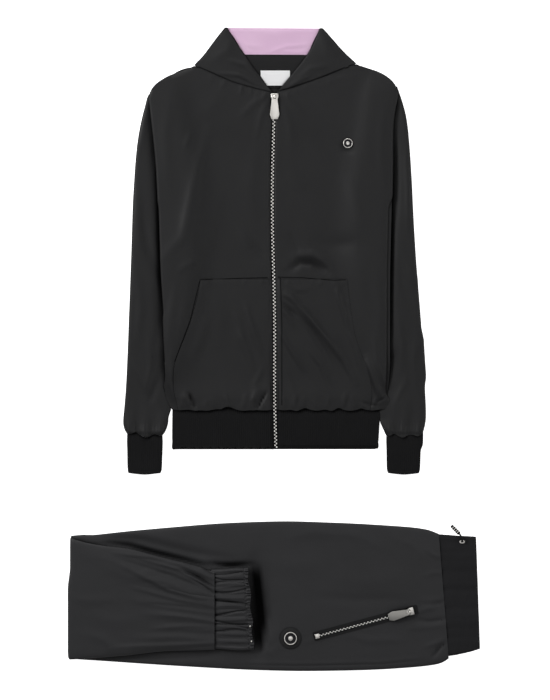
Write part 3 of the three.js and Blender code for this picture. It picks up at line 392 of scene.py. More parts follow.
def to_line(line: tuple[Point, ...], x: np.ndarray, y: np.ndarray) -> tuple[np.ndarray, np.ndarray]:
    """Measure points against a line of straight runs.

    Args:
        line: the line's points in millimetres.
        x: first coordinates in millimetres.
        y: second coordinates in millimetres.

    Returns:
        The distance of each point from the line, and how far along the line it is nearest to.
    """
    nodes = np.array(line, float)
    away = np.full(x.shape, 1e9)
    along = np.zeros(x.shape)
    done = 0.0
    for start, end in zip(nodes[:-1], nodes[1:]):
        step = end - start
        run = float(np.hypot(*step))
        share = np.clip(((x - start[0]) * step[0] + (y - start[1]) * step[1]) / run**2, 0, 1)
        gap = np.hypot(x - start[0] - share * step[0], y - start[1] - share * step[1])
        nearer = gap < away
        away = np.where(nearer, gap, away)
        along = np.where(nearer, done + share * run, along)
        done += run
    return away, along


def length_of(line: tuple[Point, ...]) -> float:
    """Add up the runs of a line."""
    nodes = np.array(line, float)
    return float(np.hypot(*(nodes[1:] - nodes[:-1]).T).sum())


@dataclass(frozen=True)
class Crease:
    """A soft ridge, or a trough where height is negative, along a given line.

    A sharp one comes to a pointed crest instead of a round one.
    """

    line: tuple[Point, ...]
    width: float
    height: float
    sharp: bool = False

    def lift(self, x: np.ndarray, y: np.ndarray) -> np.ndarray:
        """Work out how far this crease lifts each point.

        Args:
            x: first coordinates in millimetres.
            y: second coordinates in millimetres.

        Returns:
            The lift of each point in millimetres, faded towards both ends of the line.
        """
        away, along = to_line(self.line, x, y)
        share = np.clip(along / length_of(self.line), 0.02, 0.98)
        fade = np.sqrt(np.sin(np.pi * share))
        ratio = away / self.width
        section = np.exp(-ratio) * (1 - np.exp(-2 / (ratio + 1e-3))) if self.sharp else np.exp(-(ratio**2))
        return self.height * section * fade


def lift_of(creases: tuple[Crease, ...], x: np.ndarray, y: np.ndarray) -> np.ndarray:
    """Sum the lift of several creases at each point.

    Args:
        creases: the creases.
        x: first coordinates in millimetres.
        y: second coordinates in millimetres.

    Returns:
        The lift of each point in millimetres.
    """
    total = np.zeros(x.shape)
    for crease in creases:
        total += crease.lift(x, y)
    return total


def smooth(value: np.ndarray) -> np.ndarray:
    """Ease a value from 0 to 1."""
    kept = np.clip(value, 0, 1)
    return kept * kept * (3 - 2 * kept)


@dataclass(frozen=True)
class Tuck:
    """An edge that slips under its neighbour, or is drawn out over it: it is pushed, sunk and pinched.

    A loose one keeps its place when the sheet's edges are seated on what lies below.
    """

    line: tuple[Point, ...]
    push: Point = (0.0, 0.0)
    sink: float = 0.0
    reach: float = 10.0
    centre: Triple = (0.0, 0.0, 0.0)
    pinch: Triple = (0.0, 0.0, 0.0)
    loose: bool = True

    def pull(self, x: np.ndarray, y: np.ndarray, z: np.ndarray) -> np.ndarray:
        """Say how strongly each point is moved, from 0 to 1."""
        return smooth(1 - to_line(self.line, x, y)[0] / self.reach)

    def move(self, x: np.ndarray, y: np.ndarray, z: np.ndarray) -> np.ndarray:
        """Work out the move of each point in millimetres.

        Args:
            x: first coordinates in millimetres.
            y: second coordinates in millimetres.
            z: heights in millimetres.

        Returns:
            One move for each point.
        """
        here = np.stack([x, y, z], axis=1)
        shift = (np.array(self.centre) - here) * np.array(self.pinch)
        shift += np.array([*self.push, -self.sink])
        return shift * self.pull(x, y, z)[:, None]


@dataclass(frozen=True)
class Lobes:
    """An edge that hangs in uneven lobes: each has its place along the edge, half width and depth.

    Only cloth within reach of the line and above the given height moves, and it swells up by a share of
    the depth.
    """

    line: tuple[Point, ...]
    lobes: tuple[Triple, ...]
    hang: Point = (0.0, -1.0)
    reach: float = 14.0
    above: float = -1.0
    swell: float = 0.3
    loose: bool = True

    def pull(self, x: np.ndarray, y: np.ndarray, z: np.ndarray) -> np.ndarray:
        """Say how strongly each point is moved, from 0 to 1."""
        return smooth(1 - to_line(self.line, x, y)[0] / self.reach) * smooth((z - self.above) / 1.5)

    def move(self, x: np.ndarray, y: np.ndarray, z: np.ndarray) -> np.ndarray:
        """Work out the move of each point in millimetres.

        Args:
            x: first coordinates in millimetres.
            y: second coordinates in millimetres.
            z: heights in millimetres.

        Returns:
            One move for each point: along the hang, and up by the swell.
        """
        along = to_line(self.line, x, y)[1]
        depth = sum(deep * np.exp(-(((along - at) / half) ** 2)) for at, half, deep in self.lobes)
        depth = depth * self.pull(x, y, z)
        return np.stack([depth * self.hang[0], depth * self.hang[1], np.abs(depth) * self.swell], axis=1)


@dataclass(frozen=True)
class Recut:
    """A piece whose rows move to a new outline: each row has its height and its left and right end."""

    old: tuple[Triple, ...]
    new: tuple[Triple, ...]
    loose: bool = False

    def pull(self, x: np.ndarray, y: np.ndarray, z: np.ndarray) -> np.ndarray:
        """Hold nothing: a recut leaves the edges free to be seated."""
        return np.zeros(x.shape)

    def move(self, x: np.ndarray, y: np.ndarray, z: np.ndarray) -> np.ndarray:
        """Work out the move of each point in millimetres.

        Args:
            x: first coordinates in millimetres.
            y: second coordinates in millimetres.
            z: heights in millimetres; not used.

        Returns:
            One move for each point, level with the cloth.
        """
        old, new = (np.array(sorted(rows)).T for rows in (self.old, self.new))
        left, right = (np.interp(y, old[0], side) for side in old[1:])
        share = (x - left) / (right - left)
        row = np.interp(y, old[0], np.arange(old.shape[1]))
        high, low_x, high_x = (np.interp(row, np.arange(new.shape[1]), side) for side in new)
        return np.stack([low_x + (high_x - low_x) * share - x, high - y, np.zeros(x.shape)], axis=1)


def select_only(obj: bpy.types.Object) -> None:
    """Make one object the only selected and the active one."""
    bpy.ops.object.select_all(action="DESELECT")
    obj.select_set(True)
    bpy.context.view_layer.objects.active = obj


def apply_modifier(obj: bpy.types.Object, kind: str, **settings: object) -> None:
    """Add a modifier and apply it at once.

    Args:
        obj: the piece.
        kind: the modifier's type.
        settings: its settings.
    """
    select_only(obj)
    modifier = obj.modifiers.new(kind.lower(), kind)
    for key, value in settings.items():
        setattr(modifier, key, value)
    bpy.ops.object.modifier_apply(modifier=modifier.name)


def shade(obj: bpy.types.Object, degrees: float = 40) -> None:
    """Shade an object smooth, apart from edges sharper than the angle."""
    select_only(obj)
    bpy.ops.object.shade_smooth_by_angle(angle=math.radians(degrees))


def new_object(name: str, data: bpy.types.ID) -> bpy.types.Object:
    """Put a mesh, a curve, a camera or a lamp into the scene as an object at the origin.

    Args:
        name: the object's name.
        data: what the object shows.

    Returns:
        The object.
    """
    obj = bpy.data.objects.new(name, data)
    bpy.context.scene.collection.objects.link(obj)
    return obj


def merged_copy(node: bpy.types.Object, name: str) -> bpy.types.Object:
    """Copy a solid's mesh, merge its loose triangles and join them into quads.

    Args:
        node: the solid's object.
        name: the copy's name.

    Returns:
        The copy.
    """
    obj = new_object(name, node.data.copy())
    work = bmesh.new()
    work.from_mesh(obj.data)
    bmesh.ops.remove_doubles(work, verts=work.verts, dist=0.02 * MM)
    bmesh.ops.join_triangles(
        work,
        faces=work.faces,
        angle_face_threshold=math.radians(50),
        angle_shape_threshold=math.radians(60),
        cmp_seam=False,
        cmp_sharp=False,
        cmp_uvs=False,
        cmp_vcols=False,
        cmp_materials=False,
    )
    work.to_mesh(obj.data)
    work.free()
    return obj


def outer_sheet(obj: bpy.types.Object) -> None:
    """Keep only the outer face of a wall: the island with the largest area once its rim is cut.

    Args:
        obj: a merged copy of a cloth wall.
    """
    work = bmesh.new()
    work.from_mesh(obj.data)
    rim = math.radians(RIM_FOLD)
    sharp = [e for e in work.edges if len(e.link_faces) == 2 and e.calc_face_angle(0) > rim]
    bmesh.ops.split_edges(work, edges=sharp)
    work.faces.ensure_lookup_table()
    seen: set[int] = set()
    islands = []
    for face in work.faces:
        if face.index in seen:
            continue
        group, queue = [], [face]
        seen.add(face.index)
        while queue:
            here = queue.pop()
            group.append(here)
            for edge in here.edges:
                for other in edge.link_faces:
                    if other.index not in seen:
                        seen.add(other.index)
                        queue.append(other)
        area = sum(f.calc_area() for f in group)
        height = sum(f.calc_area() * f.calc_center_median().z for f in group) / max(area, 1e-12)
        islands.append((area, height, group))
    # Both faces of a wall are large, and the upper one is the outer face.
    largest = max(area for area, _, _ in islands)
    kept = max((i for i in islands if i[0] > 0.8 * largest), key=lambda i: i[1])[2]
    chosen = set(f.index for f in kept)
    bmesh.ops.delete(work, geom=[f for f in work.faces if f.index not in chosen], context="FACES")
    work.to_mesh(obj.data)
    work.free()


def places(obj: bpy.types.Object) -> np.ndarray:
    """Read the vertices of a mesh as an array of points in metres."""
    flat = np.zeros(len(obj.data.vertices) * 3, np.float32)
    obj.data.vertices.foreach_get("co", flat)
    return flat.reshape(-1, 3).astype(float)


def normals(obj: bpy.types.Object) -> np.ndarray:
    """Read the vertex normals of a mesh."""
    flat = np.zeros(len(obj.data.vertices) * 3, np.float32)
    obj.data.vertices.foreach_get("normal", flat)
    return flat.reshape(-1, 3).astype(float)


def tree_of(obj: bpy.types.Object) -> BVHTree:
    """Build a search tree from a mesh, also where the object is hidden."""
    faces = [tuple(p.vertices) for p in obj.data.polygons]
    return BVHTree.FromPolygons([v.co for v in obj.data.vertices], faces)


def hit_from_above(tree: BVHTree, x: float, y: float) -> tuple:
    """Find what a line straight down meets first: the place, normal, face and distance."""
    return tree.ray_cast(Vector((x, y, 0.2)), DOWN)


def move_to(obj: bpy.types.Object, points: np.ndarray) -> None:
    """Write new vertex places back into a mesh."""
    obj.data.vertices.foreach_set("co", points.astype(np.float32).ravel())
    obj.data.update()


def repeated(name: str, template: bpy.types.Object, poses: list[Matrix]) -> bpy.types.Object:
    """Copy one modelled shape to many places, as a single mesh, and remove the template.

    Args:
        name: the new object's name.
        template: the shape, modelled at the origin.
        poses: a matrix for each copy.

    Returns:
        The joined object.
    """
    points = places(template)
    faces = [tuple(p.vertices) for p in template.data.polygons]
    all_points, all_faces = [], []
    for k, pose in enumerate(poses):
        turn = np.array(pose.to_3x3())
        all_points.append(points @ turn.T + np.array(pose.translation))
        all_faces.extend(tuple(v + k * len(points) for v in face) for face in faces)
    mesh = bpy.data.meshes.new(name)
    mesh.from_pydata(np.concatenate(all_points).tolist(), [], all_faces)
    bpy.data.objects.remove(template)
    obj = new_object(name, mesh)
    shade(obj)
    return obj


def declare(obj: bpy.types.Object, body: str, node: str | None = None) -> None:
    """Say which body a piece rides on and which solid it replaces.

    Args:
        obj: the finished piece.
        body: the body's name.
        node: the solid that it replaces, if it replaces one.
    """
    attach(obj, body)
    if node:
        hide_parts(node)
    LOG.info("%s rides on %s", obj.name, body)


@dataclass
class Sewing:
    """Rows of lockstitch thread, each stitch a small rounded capsule that lies on the cloth.

    The thread is drawn thicker than a real one, which is too fine to show.
    """

    spacing: float = 2.6
    length: float = 2.5
    radius: float = 0.5

    def stitch(self) -> bpy.types.Object:
        """Model one stitch at the origin, along x.

        Returns:
            The stitch.
        """
        bpy.ops.mesh.primitive_cylinder_add(
            vertices=6, radius=self.radius * MM, depth=self.length * MM, rotation=(0, math.pi / 2, 0)
        )
        obj = bpy.context.active_object
        bpy.ops.object.transform_apply(location=True, rotation=True, scale=True)
        apply_modifier(obj, "BEVEL", width=0.14 * MM, segments=1, limit_method="ANGLE")
        return obj

    def row(self, name: str, cloth: list[bpy.types.Object], lines: list[list[Vector]]) -> bpy.types.Object:
        """Sew along several lines, dropping each stitch onto the cloth below it.

        Args:
            name: the new object's name.
            cloth: the shells that the stitches lie on.
            lines: for each row, the points it runs through, in metres.

        Returns:
            One object that holds every stitch.
        """
        trees = [tree_of(piece) for piece in cloth]
        poses = []
        for line in lines:
            for start, end in zip(line[:-1], line[1:]):
                run = (end - start).length
                count = max(1, round(run / (self.spacing * MM)))
                for k in range(count):
                    spot = start.lerp(end, (k + 0.5) / count)
                    hits = [hit_from_above(tree, spot.x, spot.y) for tree in trees]
                    hits = [hit for hit in hits if hit[0] is not None]
                    if not hits:
                        continue
                    hit = max(hits, key=lambda h: h[0].z)
                    up = hit[1] if hit[1].z > 0 else -hit[1]
                    along = (end - start).normalized()
                    along = (along - up * along.dot(up)).normalized()
                    side = up.cross(along)
                    turn = Matrix((along, side, up)).transposed().to_4x4()
                    poses.append(Matrix.Translation(hit[0] + up * self.radius * 0.4 * MM) @ turn)
        return repeated(name, self.stitch(), poses)


@dataclass
class Shell:
    """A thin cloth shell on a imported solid's form.

    The slides move its edges. The seats are the solids that its free edges come down on, by no more than
    the drop, which fades out over the roll. The boost multiplies its creases. A round shell is a flattened
    tube, and a straight one keeps straight edges.
    """

    node: str
    finish: str
    slot: str
    held: str = "laid"
    levels: int = 3
    straight: bool = False
    round: bool = False
    creases: tuple[Crease, ...] = ()
    boost: float = 1.0
    relief: Callable | None = None
    slides: tuple[Tuck | Lobes | Recut, ...] = ()
    lower: float = 0.0
    seats: tuple[str, ...] = ()
    drop: float = 0.0
    roll: float = 6.0
    wall: float = 0.8
    obj: bpy.types.Object | None = field(default=None, repr=False)

    def cut(self, frame: dict) -> bpy.types.Object:
        """Take the outer face of the solid and refine it.

        Args:
            frame: the loaded frame.

        Returns:
            The open sheet.
        """
        self.obj = merged_copy(frame["nodes"][self.node], f"{self.node}_cloth")
        outer_sheet(self.obj)
        apply_modifier(
            self.obj,
            "SUBSURF",
            subdivision_type="SIMPLE" if self.straight else "CATMULL_CLARK",
            levels=self.levels,
            render_levels=self.levels,
            boundary_smooth="PRESERVE_CORNERS",
        )
        return self.obj

    def local(self, origin: Vector) -> np.ndarray:
        """Read the shell's points in the garment's frame, in millimetres."""
        return (places(self.obj) - np.array(origin)) / MM

    def slide(self, origin: Vector) -> np.ndarray:
        """Move the edges as the slides say, one slide after the other.

        Args:
            origin: the garment frame's origin in metres.

        Returns:
            How strongly each point is held by a slide, from 0 to 1.
        """
        points = self.local(origin)
        points[:, 2] -= self.lower
        held = np.zeros(len(points))
        for slide in self.slides:
            if slide.loose:
                held = np.maximum(held, slide.pull(*points.T))
            points = points + slide.move(*points.T)
        move_to(self.obj, points * MM + np.array(origin))
        return held

    def shape(self, origin: Vector) -> None:
        """Raise the creases and any further relief, and mark troughs for painted shade; the underside is
        dented in a little instead.

        Args:
            origin: the garment frame's origin in metres.
        """
        x, y, z = self.local(origin).T
        out = normals(self.obj)
        lift = self.boost * lift_of(self.creases, x, y)
        below = np.zeros(x.shape)
        if self.round:
            moved = (x + UNDERSIDE_SHIFT[0], y + UNDERSIDE_SHIFT[1])
            below = -UNDERSIDE_DENT * np.abs(lift_of(self.creases, *moved))
        if self.relief is not None:
            lift = lift + self.relief(x, y, z)
        up = smooth((out[:, 2] + 0.1) / 0.4)
        down = smooth((-out[:, 2] - 0.3) / 0.4)
        points = places(self.obj) + out * ((lift * up + below * down) * MM)[:, None]
        # Nothing sinks through the floor, and an upper sheet keeps room for its own thickness.
        floor = np.where((out[:, 2] > -0.3) | (not self.round), self.wall + 0.1, 0.05)
        points[:, 2] = np.maximum(points[:, 2], floor * MM)
        move_to(self.obj, points)
        # Painted shade: how deep a trough sinks the cloth, which its material turns into darker colour and
        # gloss.
        pressed = self.obj.data.attributes.new("pressed", "FLOAT", "POINT")
        depth = smooth((-lift * up - TROUGH_SHADE_FROM) / TROUGH_SHADE_OVER)
        pressed.data.foreach_set("value", depth.astype(np.float32))

    def cut_size(self) -> tuple[tuple[float, float], float]:
        """Work out the flat cut from the finished surface, before it has a thickness.

        Returns:
            Width and length in metres, and the flat area in square metres.
        """
        points = places(self.obj)
        area = sum(face.area for face in self.obj.data.polygons)
        wide, long = (points[:, k].max() - points[:, k].min() for k in (0, 1))
        if self.round:
            wide = area / long
        ease = max(1.0, math.sqrt(1.001 * area / (wide * long)))
        return (wide * ease, long * ease), area

    def make(self, frame: dict, palette: Palette, origin: Vector) -> bpy.types.Object:
        """Args:
            frame: the loaded frame.
            palette: the materials.
            origin: the garment frame's origin in metres.

        Returns:
            The finished piece.
        """
        self.cut(frame)
        held = self.slide(origin)
        if self.seats:
            below = [frame["nodes"][name] for name in self.seats]
            seat_edges(self.obj, below, self.drop, self.roll, self.wall, held)
        self.shape(origin)
        flat, area = self.cut_size()
        apply_modifier(self.obj, "SOLIDIFY", thickness=self.wall * MM, offset=-1.0)
        shade(self.obj, 50)
        palette.put(self.obj, self.finish)
        declare(self.obj, "root", self.node)
        LOG.info("%s: flat cut %.0f x %.0f mm", self.node, flat[0] / MM, flat[1] / MM)
        return self.obj


def rounded_copy(
    frame: dict,
    palette: Palette,
    node: str,
    edge: float,
    body: str,
    finish: str = "metal",
) -> bpy.types.Object:
    """Replace a hard trim with a copy whose edges are rounded.

    Args:
        frame: the loaded frame.
        palette: the materials.
        node: the solid's name.
        edge: the edge radius in millimetres.
        body: the body that it rides on.
        finish: the material's key.

    Returns:
        The new piece.
    """
    obj = merged_copy(frame["nodes"][node], f"{node}_made")
    sharp = math.radians(35)
    apply_modifier(obj, "BEVEL", width=edge * MM, segments=3, limit_method="ANGLE", angle_limit=sharp)
    shade(obj, 35)
    palette.put(obj, finish)
    declare(obj, body, node)
    return obj


def settle(obj: bpy.types.Object, cloth: bpy.types.Object, size: float) -> None:
    """Shrink a small trim about its middle and lower it onto the cloth.

    Args:
        obj: the trim.
        cloth: the shell that it lies on.
        size: the share of its length and width that is kept.
    """
    points = places(obj)
    middle = (points.min(axis=0) + points.max(axis=0)) / 2
    points[:, :2] = middle[:2] + (points[:, :2] - middle[:2]) * size
    hit = hit_from_above(tree_of(cloth), middle[0], middle[1])
    if hit[0] is not None:
        points[:, 2] += hit[0].z + 0.1 * MM - points[:, 2].min()
    move_to(obj, points)


def open_top(obj: bpy.types.Object) -> None:
    """Take away the flat top of a stack of layers, so that the cloth above it can sink in.

    Args:
        obj: the stack.
    """
    work = bmesh.new()
    work.from_mesh(obj.data)
    top = max(v.co.z for v in work.verts)
    lid = [f for f in work.faces if f.normal.z > 0.9 and f.calc_center_median().z > top - 0.3 * MM]
    bmesh.ops.delete(work, geom=lid, context="FACES")
    work.to_mesh(obj.data)
    work.free()


@dataclass(frozen=True)
class Teeth:
    """Two interleaved rows of cast zip teeth.

    The pitch runs from one tooth to the next on the same side, and half is how far a tooth's middle lies
    from the centre line. The size is a tooth's width, length and height.
    """

    pitch: float
    half: float
    size: Triple

    def tooth(self) -> bpy.types.Object:
        """Model one tooth at the origin, its head towards +x.

        Returns:
            The tooth.
        """
        width, length, height = self.size
        bpy.ops.mesh.primitive_cube_add(size=1, scale=(width * MM, length * MM, height * MM))
        obj = bpy.context.active_object
        bpy.ops.object.transform_apply(location=True, rotation=True, scale=True)
        apply_modifier(obj, "BEVEL", width=0.35 * MM, segments=1)
        return obj

    def chain(self, name: str, line: list[Vector], palette: Palette) -> bpy.types.Object:
        """Set the teeth along a line.

        Args:
            name: the name of the solid that the teeth replace.
            line: the chain's centre line in metres.
            palette: the materials.

        Returns:
            One object that holds all the teeth.
        """
        runs = [0.0]
        for a, b in zip(line[:-1], line[1:]):
            runs.append(runs[-1] + (b - a).length)
        poses = []
        count = int(runs[-1] / (self.pitch * MM) * 2)
        up = Vector((0, 0, 1))
        for k in range(count):
            distance = (k + 0.5) * self.pitch * MM / 2
            part = min(len(runs) - 2, int(np.searchsorted(runs, distance) - 1))
            start, end = line[part], line[part + 1]
            share = (distance - runs[part]) / max(runs[part + 1] - runs[part], 1e-9)
            along = (end - start).normalized()
            side = Vector((-along.y, along.x, 0)).normalized() * (1 if k % 2 else -1)
            turn = Matrix((-side, up.cross(-side), up)).transposed().to_4x4()
            poses.append(Matrix.Translation(start.lerp(end, share) + side * self.half * MM) @ turn)
        teeth = repeated(name.replace("chain", "teeth"), self.tooth(), poses)
        palette.put(teeth, "teeth")
        declare(teeth, "root", name)
        return teeth


def origin_from(node: str, x: float, y: float) -> Vector:
    """Find a garment frame's origin from a trim whose place in that frame is known.

    Args:
        node: the trim.
        x: its centre's first coordinate in the garment's frame, in millimetres.
        y: its centre's second coordinate there.

    Returns:
        The origin in metres.
    """
    low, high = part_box(node)
    return Vector(((low.x + high.x) / 2 - x * MM, (low.y + high.y) / 2 - y * MM, 0))


def seat_edges(
    obj: bpy.types.Object,
    below: list[bpy.types.Object],
    limit: float,
    roll: float,
    wall: float,
    held: np.ndarray,
) -> None:
    """Roll a sheet's free edges down onto what lies below them.

    Args:
        obj: an open sheet.
        below: the objects that its edges may rest on.
        limit: the furthest that an edge may drop, in millimetres.
        roll: how far in from the edge the drop fades out, in millimetres.
        wall: the sheet's thickness in millimetres.
        held: how strongly each point is already held by a slide, from 0 to 1.
    """
    trees = [tree_of(piece) for piece in below]
    work = bmesh.new()
    work.from_mesh(obj.data)
    edge_points = [(v.co.copy(), held[v.index]) for v in work.verts if v.is_boundary]
    work.free()
    drops = []
    tree = KDTree(len(edge_points))
    for k, (point, hold) in enumerate(edge_points):
        tree.insert(point, k)
        start = point - Vector((0, 0, wall * MM))
        hits = [t.ray_cast(start, DOWN) for t in trees]
        gaps = [hit[3] for hit in hits if hit[0] is not None]
        gap = max(0.0, min(gaps, default=0.0) - CLEARANCE * MM)
        drops.append(min(limit * MM, gap) * (1 - hold))
    tree.balance()
    points = places(obj)
    for k, point in enumerate(points):
        _, nearest, away = tree.find(Vector(point))
        if away < roll * MM:
            points[k, 2] -= drops[nearest] * (1 - float(smooth(np.array(away / (roll * MM)))))
    move_to(obj, points)


def fans(
    line: tuple[Point, ...],
    spots: tuple[float, ...],
    reach: float,
    lean: float,
    height: float,
) -> tuple[Crease, ...]:
    """Set small puckers along a seam, at given spots, each with its own length and tilt.

    Args:
        line: the seam's start and end in millimetres.
        spots: how far along the seam each pucker starts, from 0 to 1.
        reach: the longest pucker in millimetres, positive to the left of the line.
        lean: how far the puckers tilt along the seam, in millimetres.
        height: the highest pucker in millimetres.

    Returns:
        The puckers as creases.
    """
    start, end = Vector(line[0]), Vector(line[1])
    along = (end - start).normalized()
    left = Vector((-along.y, along.x))
    made = []
    for k, spot in enumerate(spots):
        share = 0.55 + 0.45 * math.sin(2.4 * k + 1.1) ** 2
        root = start.lerp(end, spot)
        tip = root + left * reach * share + along * lean * math.sin(1.7 * k + 0.4)
        made.append(Crease((tuple(root - left * 2), tuple(tip)), 2.2 + 1.3 * share, height * share))
    return tuple(made)


@dataclass
class Jacket:
    """The hooded zip jacket, laid on its back with the zip closed."""

    badge_at: Point = (132, 550)
    rib_pitch: float = 3.75
    rib_height: float = 0.32
    teeth: Teeth = Teeth(6.35, 1.35, (2.5, 2.9, 2.4))
    rib_top: float = 72.4
    origin: Vector = field(default_factory=Vector)
    left_creases: tuple[Crease, ...] = (
        Crease(((-118, 575), (-134, 520), (-150, 450), (-164, 382), (-198, 345)), 9, 1.4),
        Crease(((-150, 570), (-161, 540)), 5, 0.9),
        Crease(((-96, 470), (-112, 400), (-121, 345)), 14, 0.8),
        Crease(((-36, 369), (-17, 344)), 4, -1.0, True),
        Crease(((-60, 392), (-42, 360)), 9, 0.8),
        Crease(((-30, 560), (-44, 470), (-38, 400)), 14, 0.7),
        Crease(((-176, 300), (-186, 240), (-190, 180)), 8, 1.0),
        Crease(((-14, 640), (-36, 622), (-60, 600)), 6, 1.0),
        Crease(((-10, 632), (-24, 600), (-32, 560)), 5, 0.8),
        Crease(((-90, 640), (-120, 610), (-150, 600)), 14, 0.7),
        Crease(((-186, 640), (-196, 560), (-188, 480)), 10, 0.7),
        Crease(((-172, 318), (-160, 330), (-140, 338)), 6, 0.7),
    )
    right_creases: tuple[Crease, ...] = (
        Crease(((8, 640), (30, 624), (52, 604)), 7, 1.0),
        Crease(((119, 548), (126, 538), (140, 534)), 3, -1.4),
        Crease(((88, 671), (118, 676), (149, 680)), 4, -0.9),
        Crease(((14, 622), (28, 585), (30, 550)), 7, 0.9),
        Crease(((24, 500), (42, 478), (60, 470)), 9, 0.8),
        Crease(((27, 390), (36, 373), (45, 356)), 4, -1.1, True),
        Crease(((60, 382), (100, 366), (150, 372)), 13, -1.4),
        Crease(((26, 322), (46, 337), (68, 335), (96, 318)), 7, -3.4),
        Crease(((40, 350), (66, 352), (98, 338)), 7, 1.6),
        Crease(((70, 352), (100, 330), (108, 304)), 6, 0.9),
        Crease(((130, 500), (150, 430), (158, 390)), 12, 0.8),
        Crease(((196, 610), (190, 540), (196, 470)), 9, 0.8),
        Crease(((60, 560), (84, 530), (120, 512)), 12, 0.7),
        Crease(((20, 300), (40, 288), (66, 290)), 6, 0.9),
        Crease(((180, 320), (190, 250), (186, 190)), 9, 0.9),
    )
    left_pocket: tuple[Crease, ...] = (
        Crease(((-52, 262), (-40, 220), (-23, 172)), 4.5, 1.5),
        Crease(((-62, 212), (-48, 175), (-38, 145)), 5, 1.2),
        Crease(((-70, 250), (-62, 220), (-60, 190)), 8, 0.7),
        Crease(((-120, 240), (-132, 200), (-150, 160)), 10, 0.9),
        Crease(((-132, 306), (-137, 290)), 2.2, -0.9, True),
        Crease(((-20, 150), (-34, 120), (-38, 96)), 4, 1.0),
        Crease(((-108, 290), (-96, 240), (-100, 190)), 12, 0.7),
        Crease(((-154, 103), (-149, 90), (-143, 74)), 2.4, -3.2),
        Crease(((-160, 104), (-156, 90), (-151, 76)), 4.0, 1.6),
        Crease(((-14, 105), (-22, 90), (-31, 72)), 2.4, -3.0),
        Crease(((-26, 112), (-34, 98), (-42, 84)), 4.0, 1.5),
    )
    right_pocket: tuple[Crease, ...] = (
        Crease(((14, 280), (30, 274), (44, 262)), 4, 1.2),
        Crease(((22, 282), (62, 239), (94, 201), (125, 160), (148, 118)), 5, 2.6),
        Crease(((34, 248), (66, 215), (88, 180), (104, 152)), 5, -1.5),
        Crease(((10, 214), (30, 180), (54, 142)), 3.6, 2.2),
        Crease(((60, 182), (84, 152), (98, 120)), 4, 1.4),
        Crease(((112, 298), (113, 282), (124, 246), (132, 216)), 3.2, 1.7),
        Crease(((122, 300), (128, 262), (136, 230)), 3.6, -1.2),
        Crease(((134, 214), (146, 184), (156, 140)), 4.2, 1.5),
        Crease(((14, 262), (28, 250), (38, 238)), 3.2, -1.8),
        Crease(((10, 258), (26, 240), (34, 222)), 3.5, 0.9),
        Crease(((16, 150), (30, 118), (36, 96)), 4, 0.9),
    )
    side_creases: tuple[Crease, ...] = (
        Crease(((164, 166), (176, 130), (192, 88)), 5, 2.0),
        Crease(((178, 200), (186, 150), (200, 110)), 5, 1.2),
        Crease(((156, 86), (172, 80), (190, 78)), 2.6, -1.2, True),
        Crease(((184, 84), (194, 90), (206, 98)), 2.6, -1.2, True),
        Crease(((-184, 150), (-186, 118), (-176, 88)), 5, 1.2),
    )
    left_sleeve: tuple[Crease, ...] = (
        Crease(((-238, 420), (-226, 360), (-206, 300)), 8, -2.0),
        Crease(((-246, 470), (-244, 400), (-240, 350)), 8, 1.6),
        Crease(((-206, 560), (-214, 500), (-208, 430)), 6, 0.9),
        Crease(((-250, 330), (-240, 260), (-246, 190)), 8, 1.4),
        Crease(((-214, 290), (-208, 230), (-214, 160)), 7, -1.2),
        Crease(((-258, 160), (-240, 130), (-226, 100)), 6, 1.2),
        Crease(((-222, 640), (-232, 590), (-240, 540)), 6, 1.0),
        Crease(((-228, 200), (-222, 150), (-232, 110)), 5, 0.9),
        Crease(
            ((-223, 612), (-213, 521), (-206, 449), (-204, 377), (-202, 305), (-197, 200), (-194, 150)),
            9,
            -5.0,
        ),
        Crease(((-206, 130), (-218, 100), (-226, 84)), 6, -1.4),
    )
    right_sleeve: tuple[Crease, ...] = (
        Crease(((236, 545), (240, 470), (240, 395)), 6, 2.0),
        Crease(((218, 560), (222, 480), (220, 400)), 6, -1.2),
        Crease(((238, 330), (246, 310), (256, 300)), 7, 1.4),
        Crease(((226, 330), (232, 290), (250, 262)), 8, -1.4),
        Crease(((222, 240), (230, 190), (228, 140)), 6, 1.1),
        Crease(((258, 210), (250, 160), (256, 110)), 7, 1.3),
        Crease(((222, 640), (232, 600), (236, 560)), 6, 1.0),
        Crease(((240, 130), (226, 104), (216, 80)), 5, 1.0),
        Crease(
            ((213, 612), (212.5, 557), (211, 485), (208.5, 413), (207, 341), (206, 269), (206, 110)),
            11,
            -5.0,
        ),
    )
    hood_creases: tuple[Crease, ...] = (
        Crease(((-100, 676), (-62, 672), (-30, 652)), 4, 1.0),
        Crease(((-84, 700), (-52, 690), (-24, 662)), 5, 1.1),
        Crease(((-110, 700), (-84, 716), (-78, 738)), 9, 0.7),
        Crease(((-66, 668), (-40, 656), (-14, 646)), 2.6, -0.7, True),
        Crease(((100, 690), (66, 684), (30, 656)), 6, 0.8),
        Crease(((116, 706), (96, 716), (84, 742)), 9, 0.8),
        Crease(((70, 676), (46, 662), (20, 648)), 4, 0.7),
    )
    back_creases: tuple[Crease, ...] = (
        Crease(((-130, 600), (-60, 540), (-30, 430)), 16, 0.7),
        Crease(((120, 620), (90, 520), (110, 400)), 18, 0.6),
        Crease(((-150, 380), (-90, 330), (-20, 322)), 12, -0.5),
        Crease(((40, 300), (96, 240), (150, 210)), 11, 0.7),
        Crease(((-160, 210), (-110, 160), (-96, 96)), 10, 0.6),
        Crease(((10, 180), (24, 130), (20, 86)), 8, 0.6),
    )
    beside_body: dict[str, tuple[Point, ...]] = field(
        default_factory=lambda: {
            "left": ((-199, 160), (-197, 125), (-195, 98), (-191, 80)),
            "right": ((211, 160), (210.5, 125), (209, 98), (200, 80), (198, 62)),
        }
    )
